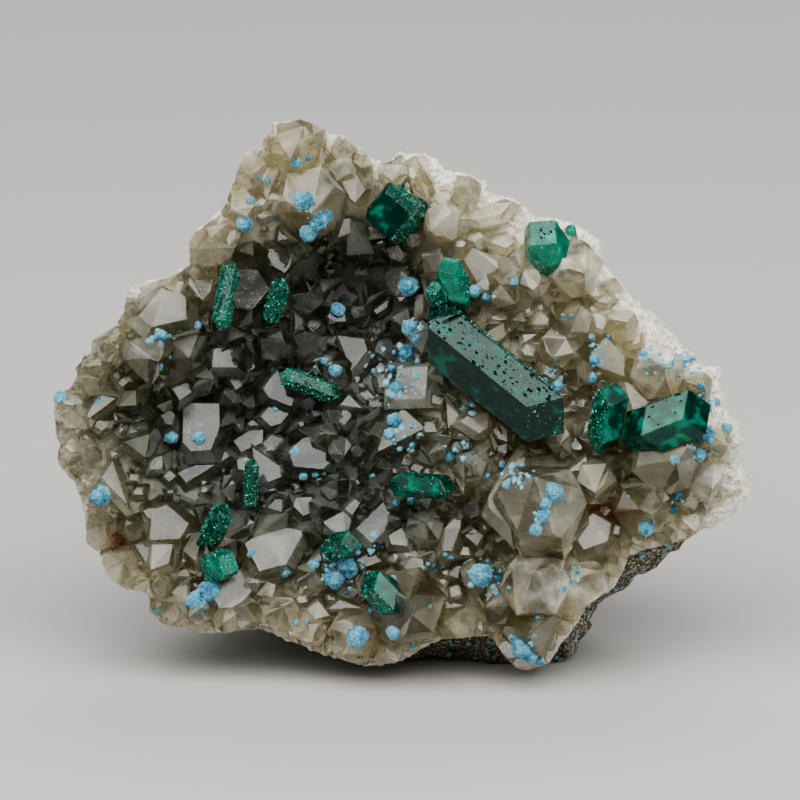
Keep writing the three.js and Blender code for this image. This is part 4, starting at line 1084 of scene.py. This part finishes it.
SKY_BLUE = shattuckite_material(
    "shattuckite",
    [(0.3, (0.005, 0.07, 0.13)), (0.5, (0.02, 0.20, 0.32)), (0.75, (0.10, 0.38, 0.50))],
    [(0.3, (0.03, 0.22, 0.35)), (0.7, (0.24, 0.53, 0.63))],
)
PALE_BLUE = shattuckite_material(
    "shattuckite_pale",
    [(0.3, (0.03, 0.20, 0.30)), (0.7, (0.16, 0.46, 0.55))],
    [(0.3, (0.12, 0.40, 0.50)), (0.7, (0.38, 0.68, 0.74))],
)


def add_ball(points, faces, centre, radius, detail, rng, flat=Matrix.Identity(3)):
    shape, polygons = BALLS[detail]
    shift = Vector((rng.uniform(0, 50), rng.uniform(0, 50), rng.uniform(0, 50)))
    start = len(points)
    for p in shape:
        grown = 1 + 0.24 * noise.noise(p * 1.6 + shift) + 0.14 * noise.noise(p * 5 + shift) + 0.14 * noise.noise(p * 12 + shift)
        points.append(centre + flat @ p * radius * grown)
    faces += [tuple(start + i for i in f) for f in polygons]


ball_points, ball_faces = [], []
cad_balls = [n for n in frame["nodes"] if n.startswith("shattuckite")]
for name in cad_balls:
    low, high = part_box(name)
    size = high - low
    radius = min(size) / 2
    steps = 1 if max(size) < 2.6 * radius else 2
    for k in range(steps):
        share = 0.5 if steps == 1 else (0.3, 0.7)[k]
        centre = low + (high - low) * share
        x, y, z = to_face @ centre
        found = on_surface(x, y)
        if found and (to_face @ found[0]).z > z:
            centre = found[0]
        add_ball(ball_points, ball_faces, centre / MM, radius / MM, 5, rng)
for x, y, r in BLUE_BALLS:
    found = on_surface(x, y)
    if found:
        place, normal = found
        sunk = rng.choice((0.1, -0.3, -0.6, -1.4)) if r < 0.9 else 0.1
        add_ball(ball_points, ball_faces, place / MM + normal * r * sunk, r, 4 if r > 0.75 else 3, rng)
balls = make_piece("shattuckite_balls", ball_points, ball_faces, [SKY_BLUE], Matrix.Scale(MM, 4), smooth=True)
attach(balls, "root")
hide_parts(*cad_balls)

# Finer and paler dots, most of them flat patches in the quartz
dot_points, dot_faces = [], []
for x, y, wide, high, wanted in BLUE_PATCHES:
    for _ in range(wanted):
        found = on_surface(rng.gauss(x, wide / 2), rng.gauss(y, high / 2))
        if found:
            place, normal = found
            r = rng.uniform(0.13, 0.34) if rng.random() < 0.7 else rng.uniform(0.34, 0.6)
            flat = Matrix.Scale(rng.uniform(0.35, 1), 3, normal)
            depth = rng.choice((0.0, -0.4, -1.0, -1.8))
            add_ball(dot_points, dot_faces, place / MM + normal * r * depth, r, 2 if r < 0.3 else 3, rng, flat)
dots = make_piece("shattuckite_dots", dot_points, dot_faces, [PALE_BLUE], Matrix.Scale(MM, 4), smooth=True)
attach(dots, "root")


# Floor, lights and camera

floor_mesh = bpy.data.meshes.new("floor")
FLOOR_HALF = 3.0
floor_mesh.from_pydata(
    [(-FLOOR_HALF, -FLOOR_HALF, 0), (FLOOR_HALF, -FLOOR_HALF, 0), (FLOOR_HALF, FLOOR_HALF, 0), (-FLOOR_HALF, FLOOR_HALF, 0)],
    [],
    [(0, 1, 2, 3)],
)
floor = bpy.data.objects.new("floor", floor_mesh)
scene.collection.objects.link(floor)
floor_look, floor_tree, floor_bsdf = new_material("floor", Roughness=0.9)
floor_bsdf.inputs["Base Color"].default_value = (0.55, 0.54, 0.52, 1)
floor_mesh.materials.append(floor_look)

FACE_CENTRE = TO_PART @ Vector((0, 0, 0))


def area_light(name, azimuth, elevation, distance, size, power):
    """A soft light seen from the specimen at an azimuth from straight ahead and an elevation, in degrees."""
    light = bpy.data.lights.new(name, "AREA")
    light.shape = "RECTANGLE"
    light.size, light.size_y = size
    light.energy = power
    lamp = bpy.data.objects.new(name, light)
    turn, rise = math.radians(azimuth), math.radians(elevation)
    away = Vector((math.sin(turn) * math.cos(rise), -math.cos(turn) * math.cos(rise), math.sin(rise)))
    lamp.location = FACE_CENTRE + away * distance
    lamp.rotation_euler = (-away).to_track_quat("-Z", "Y").to_euler()
    scene.collection.objects.link(lamp)


area_light("overhead_softbox", -4, 52, 0.9, (1.15, 0.66), 8.8)
area_light("overhead_panel", -4, 54, 1.0, (2.3, 1.4), 9)
area_light("left_softbox", -75, 25, 1.0, (0.4, 0.8), 2)
area_light("right_softbox", 70, 30, 1.0, (0.4, 0.8), 2)
area_light("back_softbox", 170, 50, 1.1, (0.9, 0.5), 4)

scene.view_settings.look = "AgX - Medium High Contrast"
world = bpy.data.worlds.new("studio")
scene.world = world
world.use_nodes = True
world.node_tree.nodes["Background"].inputs["Color"].default_value = (0.82, 0.86, 0.9, 1)
world.node_tree.nodes["Background"].inputs["Strength"].default_value = 0.1

CAMERA_DISTANCE = 0.9
camera_data = bpy.data.cameras.new("camera")
camera_data.sensor_width = 36
camera_data.lens = 289
camera = bpy.data.objects.new("camera", camera_data)
aim = TO_PART @ Vector((0, -0.7, 0))
camera.location = aim + OUT * CAMERA_DISTANCE
camera.rotation_euler = (-OUT).to_track_quat("-Z", "Y").to_euler()
camera_data.clip_start = 0.05
scene.collection.objects.link(camera)
scene.camera = camera
